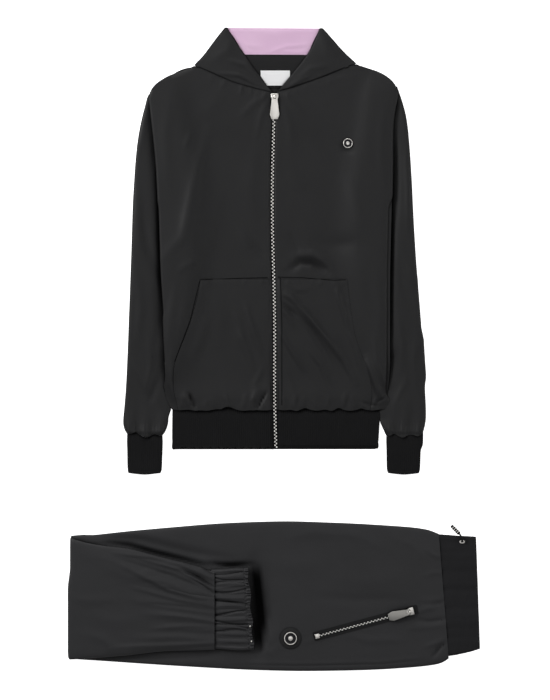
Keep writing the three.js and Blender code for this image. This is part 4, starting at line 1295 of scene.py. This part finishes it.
    left_hem: Lobes = Lobes(
        ((-184, 73.4), (-3, 73.4)),
        (
            (14, 16, 2.2),
            (42, 9, 2.8),
            (62, 12, 3.2),
            (88, 4, 1.4),
            (101, 11, -4.2),
            (128, 16, 3.2),
            (146, 4, 1.0),
            (166, 18, 2.6),
        ),
    )
    right_hem: Lobes = Lobes(
        ((4, 73.4), (195, 73.4)),
        (
            (14, 14, 2.4),
            (36, 7, 3.4),
            (52, 6, -2.0),
            (72, 14, 3.0),
            (98, 7, 3.6),
            (112, 5, -2.6),
            (132, 14, 3.2),
            (152, 5, -1.8),
            (172, 14, 2.6),
        ),
    )
    left_sleeve_end: Lobes = Lobes(
        ((-266, 30), (-200, 29)),
        ((4, 7, 1.4), (17, 4, -2.4), (36, 12, 7.6), (50, 4, -0.6), (62, 7, 4.4)),
        reach=18,
        above=3,
    )
    right_sleeve_end: Lobes = Lobes(
        ((200, 28), (266, 29)),
        ((5, 7, 3.2), (16, 4, -1.6), (30, 11, 6.6), (46, 5, 0.4), (58, 9, 4.8)),
        reach=18,
        above=3,
    )
    lining_creases: tuple[Crease, ...] = (
        Crease(((-66, 738), (-48, 726), (-20, 724)), 5, 0.8),
        Crease(((-12, 713), (20, 724), (62, 728)), 4, 1.1),
        Crease(((-40, 752), (0, 746), (44, 750)), 8, 0.7),
        Crease(((12, 716), (40, 713), (56, 716)), 3, 0.7),
        Crease(((-56, 730), (-50, 718), (-40, 712)), 3, 0.7),
    )
    seam_rows: tuple[tuple[Point, ...], ...] = (
        ((-134, 305), (-60, 308), (-12, 309)),
        ((-134, 303), (-151, 232), (-165, 195), (-179, 158)),
        ((6, 310), (50, 309), (106, 304), (128, 305)),
        ((11, 308), (13.5, 227), (13.5, 80)),
    )
    made: dict[str, bpy.types.Object] = field(default_factory=dict)
    label_cut: Recut = Recut(
        ((680, -25, 28), (668, -24, 27), (657, -18, 22)),
        ((681, -24.5, 28), (670.8, -24.5, 28), (654, -13.2, 17)),
    )
    sleeve_outline: dict[str, tuple[Tuck, ...]] = field(
        default_factory=lambda: {
            "left": (Tuck(((-223, 648), (-214, 652)), (3, -4), sink=1, reach=15),),
            "right": (
                Tuck(((256, 196), (258, 163), (261, 134)), (4.5, 0), reach=26),
                Tuck(((196, 76), (195, 66)), (-5, 0), reach=15),
            ),
        }
    )
    cuff_outline: dict[str, tuple[Tuck, ...]] = field(
        default_factory=lambda: {"left": (), "right": (Tuck(((266, 30), (264, 12)), (3.5, 0), reach=18),)}
    )
    side_moves: dict[str, tuple[Tuck, ...]] = field(
        default_factory=lambda: {
            "left": (
                Tuck(((-209, 430), (-205, 377), (-203, 300), (-200, 250)), (1.8, 0), reach=18, loose=False),
                Tuck(((-196, 112), (-192, 90)), (-4, 0), reach=22, loose=False),
            ),
            "right": (
                Tuck(((213, 430), (213.8, 360), (213.8, 233), (211, 114)), (-7, 0), reach=28, loose=False),
                Tuck(((197, 84), (193, 74)), (9.5, 0), reach=18, loose=False),
            ),
        }
    )
    side_roll: dict[str, float] = field(default_factory=lambda: {"left": 1.6, "right": 2.0})
    opening: dict[str, tuple[Point, ...]] = field(
        default_factory=lambda: {
            "left": ((-76, 744), (-52, 700), (-24, 664), (-6, 645)),
            "right": ((84, 744), (58, 701), (30, 668), (8, 646)),
        }
    )

    def hem_puckers(self) -> tuple[Crease, ...]:
        """List the puckers above the hem rib and beside the pockets' upper seams.

        Returns:
            The puckers as creases.
        """
        hem = fans(
            ((-182, 76), (188, 76)),
            (0.04, 0.15, 0.2, 0.27, 0.34, 0.38, 0.44, 0.54, 0.58, 0.63, 0.7, 0.75, 0.82, 0.88, 0.93, 0.97),
            26,
            8,
            1.3,
        )
        left = fans(((-130, 304), (-12, 306)), (0.08, 0.3, 0.52, 0.66, 0.9), -9, 3, 0.6)
        right = fans(((12, 306), (130, 304)), (0.1, 0.24, 0.5, 0.62, 0.8, 0.95), -11, 4, 0.7)
        return hem + left + right

    def neck_puckers(self) -> tuple[Crease, ...]:
        """List the small puckers that run down from the neck seam.

        Returns:
            The puckers as creases.
        """
        left = fans(((-8, 636), (-136, 678)), (0.06, 0.15, 0.27, 0.4, 0.62, 0.8), 16, 5, 0.8)
        right = fans(((10, 638), (138, 684)), (0.08, 0.2, 0.36, 0.7), -14, 5, 0.6)
        return left + right

    def ribs(self, x: np.ndarray, y: np.ndarray, z: np.ndarray) -> np.ndarray:
        """Raise the vertical ribs of the knit, in millimetres."""
        return self.rib_height * np.cos(2 * math.pi * x / self.rib_pitch)

    def sleeve_end(self, x: np.ndarray, y: np.ndarray, z: np.ndarray) -> np.ndarray:
        """Raise small uneven gathers above the cuff, and draw the cloth in at the cuff's seam.

        Args:
            x: first coordinates in millimetres.
            y: second coordinates in millimetres.
            z: heights in millimetres; not used.

        Returns:
            The lift of each point in millimetres.
        """
        near = smooth((58 - y) / 24)
        waves = np.sin(x * 0.52 + 1.6 * np.sin(x * 0.17)) + 0.6 * np.sin(x * 1.1 + 1.0)
        return near * 0.25 * waves - 1.2 * smooth((34 - y) / 8)

    def front(self, side: str, sign: int, neck: tuple[Point, ...], hem: Lobes) -> list[Shell]:
        """Describe one front: its panel, the pocket panel on it, and its half of the hem rib.

        Args:
            side: left or right.
            sign: -1 for the left front, 1 for the right one.
            neck: the panel's upper edge, which slips under the hood.
            hem: how the panel's lower edge hangs over the rib.

        Returns:
            The three shells.
        """
        puckers = self.hem_puckers() + self.neck_puckers() + self.side_creases
        folds = getattr(self, f"{side}_creases") + getattr(self, f"{side}_pocket") + puckers
        corner = ((sign * 186, 3), (sign * 184, 1))
        inner = tuple((sign * x, y) for x, y in ((20.3, 306), (21.6, 200), (24.4, 108), (23.4, 73)))
        zip_edge = tuple((sign * 3.5, y) for y in (306, 73))
        rib_line = ((sign * 3, self.rib_top), (sign * 190, self.rib_top))
        return [
            Shell(
                f"front_{side}",
                "nylon",
                "nylon",
                creases=folds,
                boost=1.3,
                slides=(
                    Tuck(neck, push=(0, 3.0), sink=0.9, reach=8),
                    *self.side_moves[side],
                    hem,
                ),
                seats=("back", "zip_tape", f"sleeve_{side}"),
                drop=2.4,
                roll=self.side_roll[side],
            ),
            Shell(
                f"pocket_{side}",
                "nylon",
                "nylon",
                creases=folds,
                boost=1.6,
                slides=(
                    Tuck(inner, push=(-sign * 17, 0), reach=46),
                    Tuck(zip_edge, sink=2.4, reach=6),
                    hem,
                ),
                lower=1.0,
                seats=(f"front_{side}",),
                drop=0.4,
            ),
            Shell(
                f"hem_rib_{side}",
                "rib",
                "rib_knit",
                levels=4,
                relief=self.ribs,
                slides=(
                    Tuck(rib_line, push=(0, 9), sink=3.4, reach=14),
                    Tuck(corner, push=(sign * 3, -1), reach=12, loose=False),
                ),
                seats=("hem_rib_back",),
                drop=2.6,
            ),
        ]

    def sleeve(self, side: str, sign: int, end: Lobes) -> list[Shell]:
        """Describe one sleeve and its cuff.

        Args:
            side: left or right.
            sign: -1 for the left sleeve, 1 for the right one.
            end: how the sleeve's end hangs over the cuff.

        Returns:
            The two shells.
        """
        seam = ((sign * 200, 29.5), (sign * 266, 29.5))
        wrist = ((sign * 203, -41.5), (sign * 262, -41.5))
        beside = self.beside_body[side]
        under_body = Tuck(beside, push=(-sign * 8, 0), reach=26, centre=(0, 0, 1.6), pinch=(0, 0, 0.6))
        middle = ((sign * 233, 20), (sign * 233, -40))
        stout = Tuck(middle, reach=70, centre=(sign * 232, 0, 0), pinch=(-0.05, 0, 0))
        return [
            Shell(
                f"sleeve_{side}",
                "nylon",
                "nylon",
                round=True,
                creases=getattr(self, f"{side}_sleeve"),
                boost=1.15,
                relief=self.sleeve_end,
                slides=(under_body, *self.sleeve_outline[side], end),
            ),
            Shell(
                f"cuff_{side}",
                "rib",
                "rib_knit",
                round=True,
                relief=self.ribs,
                slides=(
                    stout,
                    *self.cuff_outline[side],
                    Tuck(seam, push=(0, 9), reach=18, centre=(sign * 233, 0, 4), pinch=(0.04, 0, 0.5)),
                    Lobes(wrist, ((30, 24, 3.4),), reach=24),
                ),
            ),
        ]

    def shells(self) -> list[Shell]:
        """List the cloth pieces from the lowest to the highest."""
        neck_left = ((-144, 689), (-72, 657), (-3, 639))
        neck_right = ((147, 692), (70, 661), (5, 641))
        rib_back = Tuck(((-182, self.rib_top), (189, self.rib_top)), push=(0, 6), sink=1.0, reach=14)
        return [
            Shell("back", "nylon", "nylon", creases=self.back_creases),
            Shell("hem_rib_back", "rib", "rib_knit", relief=self.ribs, slides=(rib_back,)),
            *self.sleeve("left", -1, self.left_sleeve_end),
            *self.sleeve("right", 1, self.right_sleeve_end),
            *self.front("left", -1, neck_left, self.left_hem),
            *self.front("right", 1, neck_right, self.right_hem),
            Shell("hood_back", "nylon", "nylon", levels=2, held="folded"),
            Shell(
                "hood_lining",
                "lining",
                "hood_lining",
                creases=self.lining_creases,
                slides=(Tuck(((-85, 756.5), (82, 755.5)), push=(0, 1.6), sink=1.2, reach=5),),
                seats=("hood_back",),
                drop=0.3,
            ),
            # The neck facing's darker finish is painted shade inside the neck.
            Shell(
                "neck_facing",
                "facing",
                "nylon",
                slides=(Tuck(((-56, 709), (60, 708.5)), push=(0, 5), sink=1.1, reach=12),),
                seats=("hood_back", "back"),
                drop=0.4,
            ),
            Shell(
                "neck_label",
                "label",
                "label_cloth",
                straight=True,
                slides=(self.label_cut,),
                seats=("neck_facing",),
                drop=0.4,
                wall=0.5,
            ),
            *[
                Shell(
                    f"hood_{side}",
                    "nylon",
                    "nylon",
                    creases=self.hood_creases,
                    boost=1.6,
                    slides=(Tuck(self.opening[side], reach=5),),
                    seats=("hood_back", "hood_lining", f"front_{side}", "back", "neck_facing"),
                    drop=2.2,
                    roll=2.2,
                )
                for side in ("left", "right")
            ],
        ]

    def build(self, frame: dict, palette: Palette) -> None:
        """Make every piece of the jacket.

        Args:
            frame: the loaded frame.
            palette: the materials.
        """
        self.origin = origin_from("chest_badge", *self.badge_at)
        self.made = {shell.node: shell.make(frame, palette, self.origin) for shell in self.shells()}
        self.sew(palette)
        self.zip(frame, palette)
        Badge("chest_badge", "chest_badge_disc").make(palette)

    def sew(self, palette: Palette) -> None:
        """Sew the pockets' upper seams, the left pocket's opening and the seam beside the zip.

        Args:
            palette: the materials.
        """
        pieces = ("front_left", "front_right", "pocket_left", "pocket_right")
        fronts = [self.made[piece] for piece in pieces]
        lines = [[self.origin + Vector((x * MM, y * MM, 0)) for x, y in row] for row in self.seam_rows]
        rows = Sewing().row("pocket_stitches", fronts, lines)
        palette.put(rows, "thread")
        declare(rows, "root")

    def zip(self, frame: dict, palette: Palette) -> None:
        """Make the chain of teeth, the slider and the pull tab.

        Args:
            frame: the loaded frame.
            palette: the materials.
        """
        self.teeth.chain("zip_chain", centre_line(frame, "zip_chain"), palette)
        palette.put(frame["nodes"]["zip_tape"], "tape")
        rounded_copy(frame, palette, "zip_slider", 0.9, "root")
        rounded_copy(frame, palette, "zip_pull", 0.3, "jacket_pull")


def centre_line(frame: dict, node: str) -> list[Vector]:
    """Find where a strip's teeth sit: 0.5 mm right of its middle and 0.8 mm below its face.

    Args:
        frame: the loaded frame.
        node: a strip that runs along y.

    Returns:
        The points from the lowest y to the highest, in metres.
    """
    points = places(frame["nodes"][node])
    upper = points[normals(frame["nodes"][node])[:, 2] > 0.2]
    degree = 7
    middle = np.polynomial.Polynomial.fit(points[:, 1], points[:, 0], degree)
    top = np.polynomial.Polynomial.fit(upper[:, 1], upper[:, 2], degree)
    heights = np.linspace(points[:, 1].min(), points[:, 1].max(), 60)
    return [Vector((float(middle(y)) + 0.5 * MM, y, float(top(y)) - 0.8 * MM)) for y in heights]


@dataclass
class Badge:
    """A plain round badge: a bright bevelled rim round a sunken dark face with a small stud."""

    node: str
    name: str
    rim: float = 0.14
    ring: float = 0.5
    sunk: float = 0.5

    def make(self, palette: Palette) -> None:
        """Model the badge in the place of its solid.

        Args:
            palette: the materials.
        """
        low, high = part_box(self.node)
        radius = (high.x - low.x) / 2
        middle = (low + high) / 2
        thick = high.z - low.z
        bpy.ops.object.select_all(action="DESELECT")
        bpy.ops.mesh.primitive_cylinder_add(vertices=48, radius=radius, depth=thick, location=middle)
        obj = bpy.context.active_object
        obj.name = self.name
        bpy.ops.object.transform_apply(location=True, rotation=True, scale=True)
        bpy.ops.object.mode_set(mode="EDIT")
        work = bmesh.from_edit_mesh(obj.data)
        bpy.ops.mesh.select_all(action="DESELECT")
        top = max(work.faces, key=lambda f: f.calc_center_median().z)
        top.select_set(True)
        work.faces.active = top
        bmesh.update_edit_mesh(obj.data)
        bpy.ops.mesh.inset(thickness=radius * self.rim)
        bpy.ops.mesh.extrude_region_move(TRANSFORM_OT_translate={"value": (0, 0, -self.sunk * MM)})
        bpy.ops.mesh.inset(thickness=radius * self.ring)
        bpy.ops.mesh.extrude_region_move(TRANSFORM_OT_translate={"value": (0, 0, self.sunk * 0.9 * MM)})
        bpy.ops.object.mode_set(mode="OBJECT")
        palette.put(obj, "metal", "enamel")
        face_level = high.z - self.sunk * 0.7 * MM
        for face in obj.data.polygons:
            flat = face.normal.z > 0.9 and face.center.z < face_level
            face.material_index = 1 if flat else 0
        apply_modifier(obj, "BEVEL", width=0.3 * MM, segments=2, limit_method="ANGLE")
        shade(obj)
        declare(obj, "root", self.node)


@dataclass
class Trousers:
    """The trousers, laid on one side, folded in half, with the lower leg turned back over the thigh."""

    badge_at: Point = (400, 60)
    zip_from: Point = (448, 64)
    zip_to: Point = (622, 110.5)
    teeth: Teeth = Teeth(6.4, 0.9, (1.9, 2.8, 1.6))
    origin: Vector = field(default_factory=Vector)
    leg_creases: tuple[Crease, ...] = (
        Crease(((266, 178), (236, 190), (190, 201), (120, 216)), 3.4, 1.5),
        Crease(((266, 166), (208, 192), (150, 206), (84, 214)), 3.6, 1.6),
        Crease(((264, 148), (200, 185), (134, 203)), 3.6, 1.9),
        Crease(((260, 143), (185, 174), (84, 205)), 4.2, -1.2),
        Crease(((262, 130), (183, 148), (99, 192)), 4.4, 1.6),
        Crease(((262, 118), (198, 131), (120, 152)), 4.4, 1.5),
        Crease(((262, 109), (214, 117), (150, 124)), 3.4, -0.9),
        Crease(((264, 92), (222, 99), (170, 104)), 4.0, 1.2),
        Crease(((264, 82), (216, 84), (150, 78)), 4.4, 1.0),
        Crease(((306, 56), (223, 51), (94, 46)), 4.2, 1.4),
        Crease(((296, 48), (210, 43), (120, 36)), 4.0, -1.3),
        Crease(((240, 60), (200, 66), (150, 62)), 6.0, 0.9),
        Crease(((60, 190), (90, 180), (130, 162)), 10, 0.9),
        Crease(((6, 134), (40, 128), (90, 132)), 9, 0.8),
        Crease(((40, 100), (90, 92), (130, 96)), 12, 0.8),
        Crease(((30, 70), (70, 58), (96, 40)), 9, 1.0),
        Crease(((72, 56), (76, 44), (74, 34)), 3, 0.9),
        Crease(((202, 185), (236, 170), (266, 151)), 3.2, -4.4, True),
        Crease(((222, 168), (246, 154), (266, 138)), 2.8, -2.4, True),
        Crease(((240, 190), (266, 174)), 2.6, -3.4, True),
        Crease(((178, 152), (222, 140), (266, 134)), 3.0, -1.7, True),
    )
    thigh_creases: tuple[Crease, ...] = (
        Crease(((674, 204), (656, 210), (640, 222)), 4, 1.2),
        Crease(((676, 176), (660, 178), (640, 172)), 4, 0.9),
        Crease(((678, 124), (656, 116), (622, 106)), 4, 1.4),
        Crease(((678, 132), (652, 128), (630, 130)), 5, 0.8),
        Crease(((680, 94), (650, 89), (626, 92)), 4, -2.4, True),
        Crease(((680, 126), (668, 122), (652, 117)), 3.6, -2.4, True),
        Crease(((680, 84), (650, 82), (612, 78)), 5, 1.0),
        Crease(((676, 50), (668, 42), (656, 26)), 3.6, -3.6, True),
        Crease(((680, 60), (664, 52), (640, 44)), 4, 1.1),
        Crease(((446, 134), (520, 128), (620, 130)), 9, -1.1),
        Crease(((420, 50), (470, 66), (512, 82)), 3.6, 0.9),
        Crease(((494, 70), (540, 56), (600, 58)), 6, 0.9),
        Crease(((352, 26), (362, 50), (374, 78)), 4.6, 2.6),
        Crease(((358, 20), (370, 36), (386, 52)), 5, 1.2),
        Crease(((345, 30), (343, 62), (344, 96), (341, 130), (339, 165), (336, 200)), 14, -10.6),
        Crease(((254, 196), (276, 191), (300, 190), (330, 194)), 4.5, -6.0),
        Crease(((358, 92), (366, 120), (358, 150)), 9, -1.4),
        Crease(((60, 232), (112, 226), (162, 212), (212, 200), (268, 185)), 5, -6.0),
        Crease(((390, 240), (440, 250), (520, 246)), 9, 1.0),
        Crease(((500, 250), (540, 236), (580, 214)), 8, 0.9),
        Crease(((330, 200), (400, 190), (470, 196)), 16, 0.8),
        Crease(((480, 170), (540, 160), (600, 170)), 14, 0.8),
        Crease(((300, 12), (420, 10), (560, 13), (640, 20)), 2.2, -0.7, True),
        Crease(((320, 17), (430, 15), (560, 18), (640, 26)), 2.6, 0.5),
        Crease(((40, 243), (130, 236), (220, 214), (300, 200)), 8, -3.0),
        Crease(((590, 240), (620, 226), (640, 204)), 5, 0.8),
        Crease(((40, 24), (160, 22), (280, 30)), 6, -1.2),
    )
    calm: float = 0.85
    stop_size: float = 0.62
    made: dict[str, bpy.types.Object] = field(default_factory=dict)
    elastic_rows: int = 11
    cuff_gathers: tuple[Triple, ...] = (
        (73, 1.6, -1.9),
        (82, 1.5, -1.6),
        (90, 1.7, -2.4),
        (97, 4.0, 1.0),
        (106, 1.8, -2.8),
        (115, 5.0, 1.4),
        (125, 1.9, -2.9),
        (136, 5.0, 1.4),
        (147, 1.7, -2.5),
        (152, 3.0, 0.9),
        (158, 1.6, -1.7),
        (163, 3.0, 1.0),
        (168, 1.7, -2.5),
        (178, 1.6, -1.6),
    )
    frill: tuple[Triple, ...] = (
        (12, 7, 1.6),
        (32, 8, -1.8),
        (52, 9, 2.2),
        (76, 8, -1.4),
        (100, 12, 1.8),
        (126, 9, -1.6),
    )

    def cuff_relief(self, x: np.ndarray, y: np.ndarray, z: np.ndarray) -> np.ndarray:
        """Raise uneven gathers across the elastic cuff, with a sewn channel and a frilled free edge.

        Args:
            x: first coordinates in millimetres.
            y: second coordinates in millimetres.
            z: heights in millimetres; not used.

        Returns:
            The lift of each point in millimetres.
        """
        total = np.zeros(x.shape)
        for k, (at, width, height) in enumerate(self.cuff_gathers):
            drift = 4 * np.sin((x - 265) / 22 + 1.3 * k)
            total += 0.8 * height * np.exp(-(((y - at - drift) / width) ** 2))
        total *= smooth((y - 62) / 12)
        foot, head = 42 - (x - 265) * 0.03, 184 + (x - 265) * 0.05
        eased = 1 - 0.6 * smooth(1 - (x - 262) / 16)
        waves = np.cos((y - foot) / (head - foot) * self.elastic_rows * 2 * math.pi)
        total -= eased * self.calm * 1.3 * (1 - waves)
        channel_at = 325 - (y - 57) * 0.067
        channel = -1.8 * np.exp(-(((x - channel_at) / 1.5) ** 2)) * (0.65 + 0.35 * np.sin(y * 0.9))
        frill = smooth((x - channel_at) / 4) * 0.8 * np.sin(y * 1.15 + 1.3 * np.sin(y * 0.31))
        return total * (1 - 0.4 * smooth((x - channel_at + 5) / 6)) + channel + frill

    def shells(self) -> list[Shell]:
        """List the cloth pieces from the lowest to the highest."""
        band_seam = ((685, 25), (667, 247))
        cuff_seam = ((265, 42), (265, 184))
        free_edge = ((334, 40), (324, 187))
        return [
            Shell(
                "thigh_front",
                "trouser",
                "trouser_nylon",
                creases=self.thigh_creases,
                slides=(Tuck(((12, 242), (30, 242)), push=(-6, 1.5), reach=16, loose=False),),
                held="folded",
            ),
            Shell(
                "waistband",
                "band",
                "trouser_rib",
                relief=self.band_ribs,
                slides=(Tuck(band_seam, push=(-9, 0), sink=1.2, reach=16),),
                held="folded",
            ),
            Shell(
                "lower_leg",
                "trouser",
                "trouser_nylon",
                creases=self.leg_creases,
                slides=(Tuck(((0, 228), (0, 190)), push=(4, 0), reach=44, loose=False),),
                held="folded",
            ),
            Shell(
                "ankle_cuff",
                "trouser",
                "trouser_nylon",
                levels=4,
                round=True,
                relief=self.cuff_relief,
                slides=(
                    Tuck(cuff_seam, push=(-7, 0), reach=14, centre=(0, 112, 16.9), pinch=(0, 0, 0.6)),
                    Lobes(free_edge, self.frill, hang=(1.0, 0.0), reach=16, swell=0),
                ),
                held="gathered",
            ),
        ]

    def band_ribs(self, x: np.ndarray, y: np.ndarray, z: np.ndarray) -> np.ndarray:
        """Raise fine ribs along the waistband, drawn into shallow uneven gathers by the cord.

        Args:
            x: first coordinates in millimetres.
            y: second coordinates in millimetres.
            z: heights in millimetres; not used.

        Returns:
            The lift of each point in millimetres.
        """
        ribs = 0.16 * np.cos(2 * math.pi * (x + 0.08 * y) / 3.2)
        gathers = 0.5 * np.sin(y * 0.16 + 1.4 * np.sin(y * 0.043)) + 0.25 * np.sin(y * 0.37 + 0.6)
        return ribs + gathers

    def build(self, frame: dict, palette: Palette) -> None:
        """Make every piece of the trousers.

        Args:
            frame: the loaded frame.
            palette: the materials.
        """
        self.origin = origin_from("thigh_badge", *self.badge_at)
        self.made = {shell.node: shell.make(frame, palette, self.origin) for shell in self.shells()}
        for node, finish, slot in (
            ("thigh_layers", "trouser", "trouser_nylon"),
            ("shin_layers", "trouser", "trouser_nylon"),
            ("waistband_layers", "band", "trouser_rib"),
        ):
            open_top(rounded_copy(frame, palette, node, 1.0, "root", finish))
        rounded_copy(frame, palette, "thigh_badge_patch", 0.4, "root", "rubber")
        Badge("thigh_badge", "thigh_badge_disc").make(palette)
        self.pocket(frame, palette)
        settle(rounded_copy(frame, palette, "eyelet", 0.4, "root"), self.made["waistband"], 0.82)
        for node in ("ankle_zip_stop_1", "ankle_zip_stop_2"):
            stop = rounded_copy(frame, palette, node, 0.4, "root")
            settle(stop, self.made["ankle_cuff"], self.stop_size)

    def pocket(self, frame: dict, palette: Palette) -> None:
        """Make the pocket's chain of teeth, its stop, slider and pull tab.

        Args:
            frame: the loaded frame.
            palette: the materials.
        """
        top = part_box("pocket_zip_chain")[1].z - 0.7 * MM
        ends = [self.origin + Vector((x * MM, y * MM, top)) for x, y in (self.zip_from, self.zip_to)]
        self.teeth.chain("pocket_zip_chain", ends, palette)
        palette.put(frame["nodes"]["pocket_zip_tape"], "facing")
        rounded_copy(frame, palette, "pocket_zip_stop", 0.6, "root")
        rounded_copy(frame, palette, "pocket_zip_slider", 0.9, "root")
        rounded_copy(frame, palette, "pocket_zip_pull", 0.3, "pocket_pull", "brushed")


@dataclass
class Drawcord:
    """The short free end of the waist's drawcord, from its eyelet over the edge to the surface."""

    diameter: float = 3.0
    samples: int = 5
    route: tuple[Triple, ...] = (
        (708, 233, 13.1),
        (707.9, 233.6, 15.6),
        (707.4, 235.8, 18.2),
        (706.6, 239.2, 19.2),
        (705.6, 242.6, 17.6),
        (704.4, 245.2, 14.6),
        (703.2, 246.9, 12.0),
        (702.9, 247.3, 11.6),
        (696.2, 254.1, 7.4),
        (690.8, 259.6, 4.1),
    )
    tip: tuple[Triple, ...] = ((702.9, 247.3, 11.6), (689.6, 260.8, 3.35))
    tip_radius: float = 3.5
    wire_radius: float = 0.72
    turns: int = 4

    def points(self, origin: Vector) -> list[Vector]:
        """Run a smooth line through the route.

        Args:
            origin: the garment frame's origin in metres.

        Returns:
            The points in metres.
        """
        knots = [origin + Vector(p) * MM for p in self.route]
        made = []
        for k in range(len(knots) - 1):
            a, b = knots[max(0, k - 1)], knots[k]
            c, d = knots[k + 1], knots[min(len(knots) - 1, k + 2)]
            for step in range(self.samples):
                t = step / self.samples
                square = (2 * a - 5 * b + 4 * c - d) * t**2
                cube = (3 * b - a - 3 * c + d) * t**3
                made.append(0.5 * (2 * b + (c - a) * t + square + cube))
        return made + [knots[-1]]

    def build(self, frame: dict, palette: Palette) -> None:
        """Make the cord and its tip.

        Args:
            frame: the loaded frame.
            palette: the materials.
        """
        origin = origin_from("thigh_badge", *Trousers.badge_at)
        line = self.points(origin)
        curve = bpy.data.curves.new("drawcord_line", "CURVE")
        curve.dimensions = "3D"
        curve.bevel_depth = self.diameter / 2 * MM
        curve.bevel_resolution = 4
        curve.use_fill_caps = True
        spline = curve.splines.new("POLY")
        spline.points.add(len(line) - 1)
        for knot, point in zip(spline.points, line):
            knot.co = (*point, 1)
        cord = new_object("drawcord_end", curve)
        palette.put(cord, "tape")
        declare(cord, "root", "drawcord")
        made = self.tip_pieces(frame, palette, origin)

    def tip_pieces(self, frame: dict, palette: Palette, origin: Vector) -> list[bpy.types.Object]:
        """Make the tip: a dark core with turns of bright wire round it.

        Args:
            frame: the loaded frame.
            palette: the materials.
            origin: the garment frame's origin in metres.

        Returns:
            The core and the wire.
        """
        start, end = (origin + Vector(p) * MM for p in self.tip)
        axis = (end - start).normalized()
        core = merged_copy(frame["nodes"]["cord_tip"], "cord_tip_core")
        select_only(core)
        points = places(core)
        along = (points - np.array(start)) @ np.array(axis)
        line = np.array(start) + along[:, None] * np.array(axis)
        move_to(core, line + (points - line) * 0.86)
        sharp = math.radians(60)
        apply_modifier(core, "BEVEL", width=1.1 * MM, segments=3, limit_method="ANGLE", angle_limit=sharp)
        shade(core, 50)
        palette.put(core, "thread")
        declare(core, "root", "cord_tip")
        bpy.ops.mesh.primitive_torus_add(
            major_segments=28,
            minor_segments=8,
            major_radius=(self.tip_radius - 0.55) * MM,
            minor_radius=self.wire_radius * MM,
        )
        template = bpy.context.active_object
        lean = axis.to_track_quat("Z", "Y").to_matrix().to_4x4() @ Matrix.Rotation(math.radians(20), 4, "X")
        pitch = (end - start).length / (self.turns + 1)
        coils = repeated(
            "cord_tip_wire",
            template,
            [Matrix.Translation(start + axis * pitch * (k + 0.55)) @ lean for k in range(self.turns)],
        )
        palette.put(coils, "teeth")
        declare(coils, "root")
        return [core, coils]


@dataclass
class Studio:
    """A white floor, large soft lamps and a camera straight above the set."""

    centre: Point = (2.2, -1.3)
    view_height: float = 1260
    lens: float = 100
    film: float = 36
    floor_glow: tuple[float, float] = (0.1, 1.0)
    sky_glow: float = 0.22
    lamps: tuple[tuple[str, Triple, float, float], ...] = (
        ("lamp_left", (-2.5, 1.5, 2.1), 0.7, 70),
        ("lamp_right", (2.6, 0.4, 1.9), 1.4, 18),
        ("lamp_top", (-0.3, 2.8, 1.9), 1.2, 30),
        ("lamp_above", (0, 0, 4.2), 2.6, 20),
    )

    def camera(self) -> None:
        """Place the camera so that the view's height fills the film."""
        data = bpy.data.cameras.new("camera")
        data.sensor_fit = "VERTICAL"
        data.sensor_height = self.film
        data.lens = self.lens
        data.clip_end = 20
        distance = self.view_height / 2 / (self.film / 2 / self.lens) * MM
        obj = new_object("camera", data)
        obj.location = (self.centre[0] * MM, self.centre[1] * MM, distance)
        bpy.context.scene.camera = obj

    def lamp(self, name: str, place: Triple, size: float, power: float) -> None:
        """Add a square lamp that looks at the set's middle.

        Args:
            name: the lamp's name.
            place: where it hangs, in metres.
            size: the length of its side in metres.
            power: its power in watts.
        """
        data = bpy.data.lights.new(name, "AREA")
        data.shape = "SQUARE"
        data.size = size
        data.energy = power
        obj = new_object(name, data)
        obj.location = place
        aim = Vector((0, 0, 0)) - Vector(place)
        obj.rotation_euler = aim.to_track_quat("-Z", "Y").to_euler()

    def build(self) -> None:
        """Add the floor, the lamps and the ambient light."""
        bpy.ops.mesh.primitive_plane_add(size=12, location=(0, 0, -0.0005))
        floor = bpy.context.active_object
        floor.name = "studio_floor"
        bpy.ops.object.transform_apply(location=True, rotation=True, scale=True)
        material, tree = blank_material("white_sweep")
        path = add_node(tree, "LightPath", {})
        glow = add_node(
            tree,
            "MapRange",
            {"To Min": self.floor_glow[0], "To Max": self.floor_glow[1]},
            {"Value": path.outputs["Is Camera Ray"]},
        )
        shader = add_node(
            tree,
            "BsdfPrincipled",
            {"Base Color": linear("#f4f4f4"), "Roughness": 0.9, "Emission Color": linear("#ffffff")},
            {"Emission Strength": glow.outputs["Result"]},
        )
        add_node(tree, "OutputMaterial", {}, {"Surface": shader.outputs["BSDF"]})
        floor.data.materials.append(material)
        for name, place, size, power in self.lamps:
            self.lamp(name, place, size, power)
        world = bpy.data.worlds.new("studio_air")
        bpy.context.scene.world = world
        world.use_nodes = True
        sky = world.node_tree.nodes["Background"]
        sky.inputs["Color"].default_value = linear("#ffffff")
        sky.inputs["Strength"].default_value = self.sky_glow
        bpy.context.scene.view_settings.view_transform = "Standard"


def main() -> None:
    """Build the set in order."""
    logging.basicConfig(level=logging.INFO, format="%(name)s %(message)s")
    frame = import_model()
    studio = Studio()
    studio.camera()
    palette = Palette()
    for part in (Drawcord(), Jacket(), Trousers()):
        part.build(frame, palette)
        LOG.info("%s is made", type(part).__name__)
    studio.build()


if __name__ == "__main__":
    main()
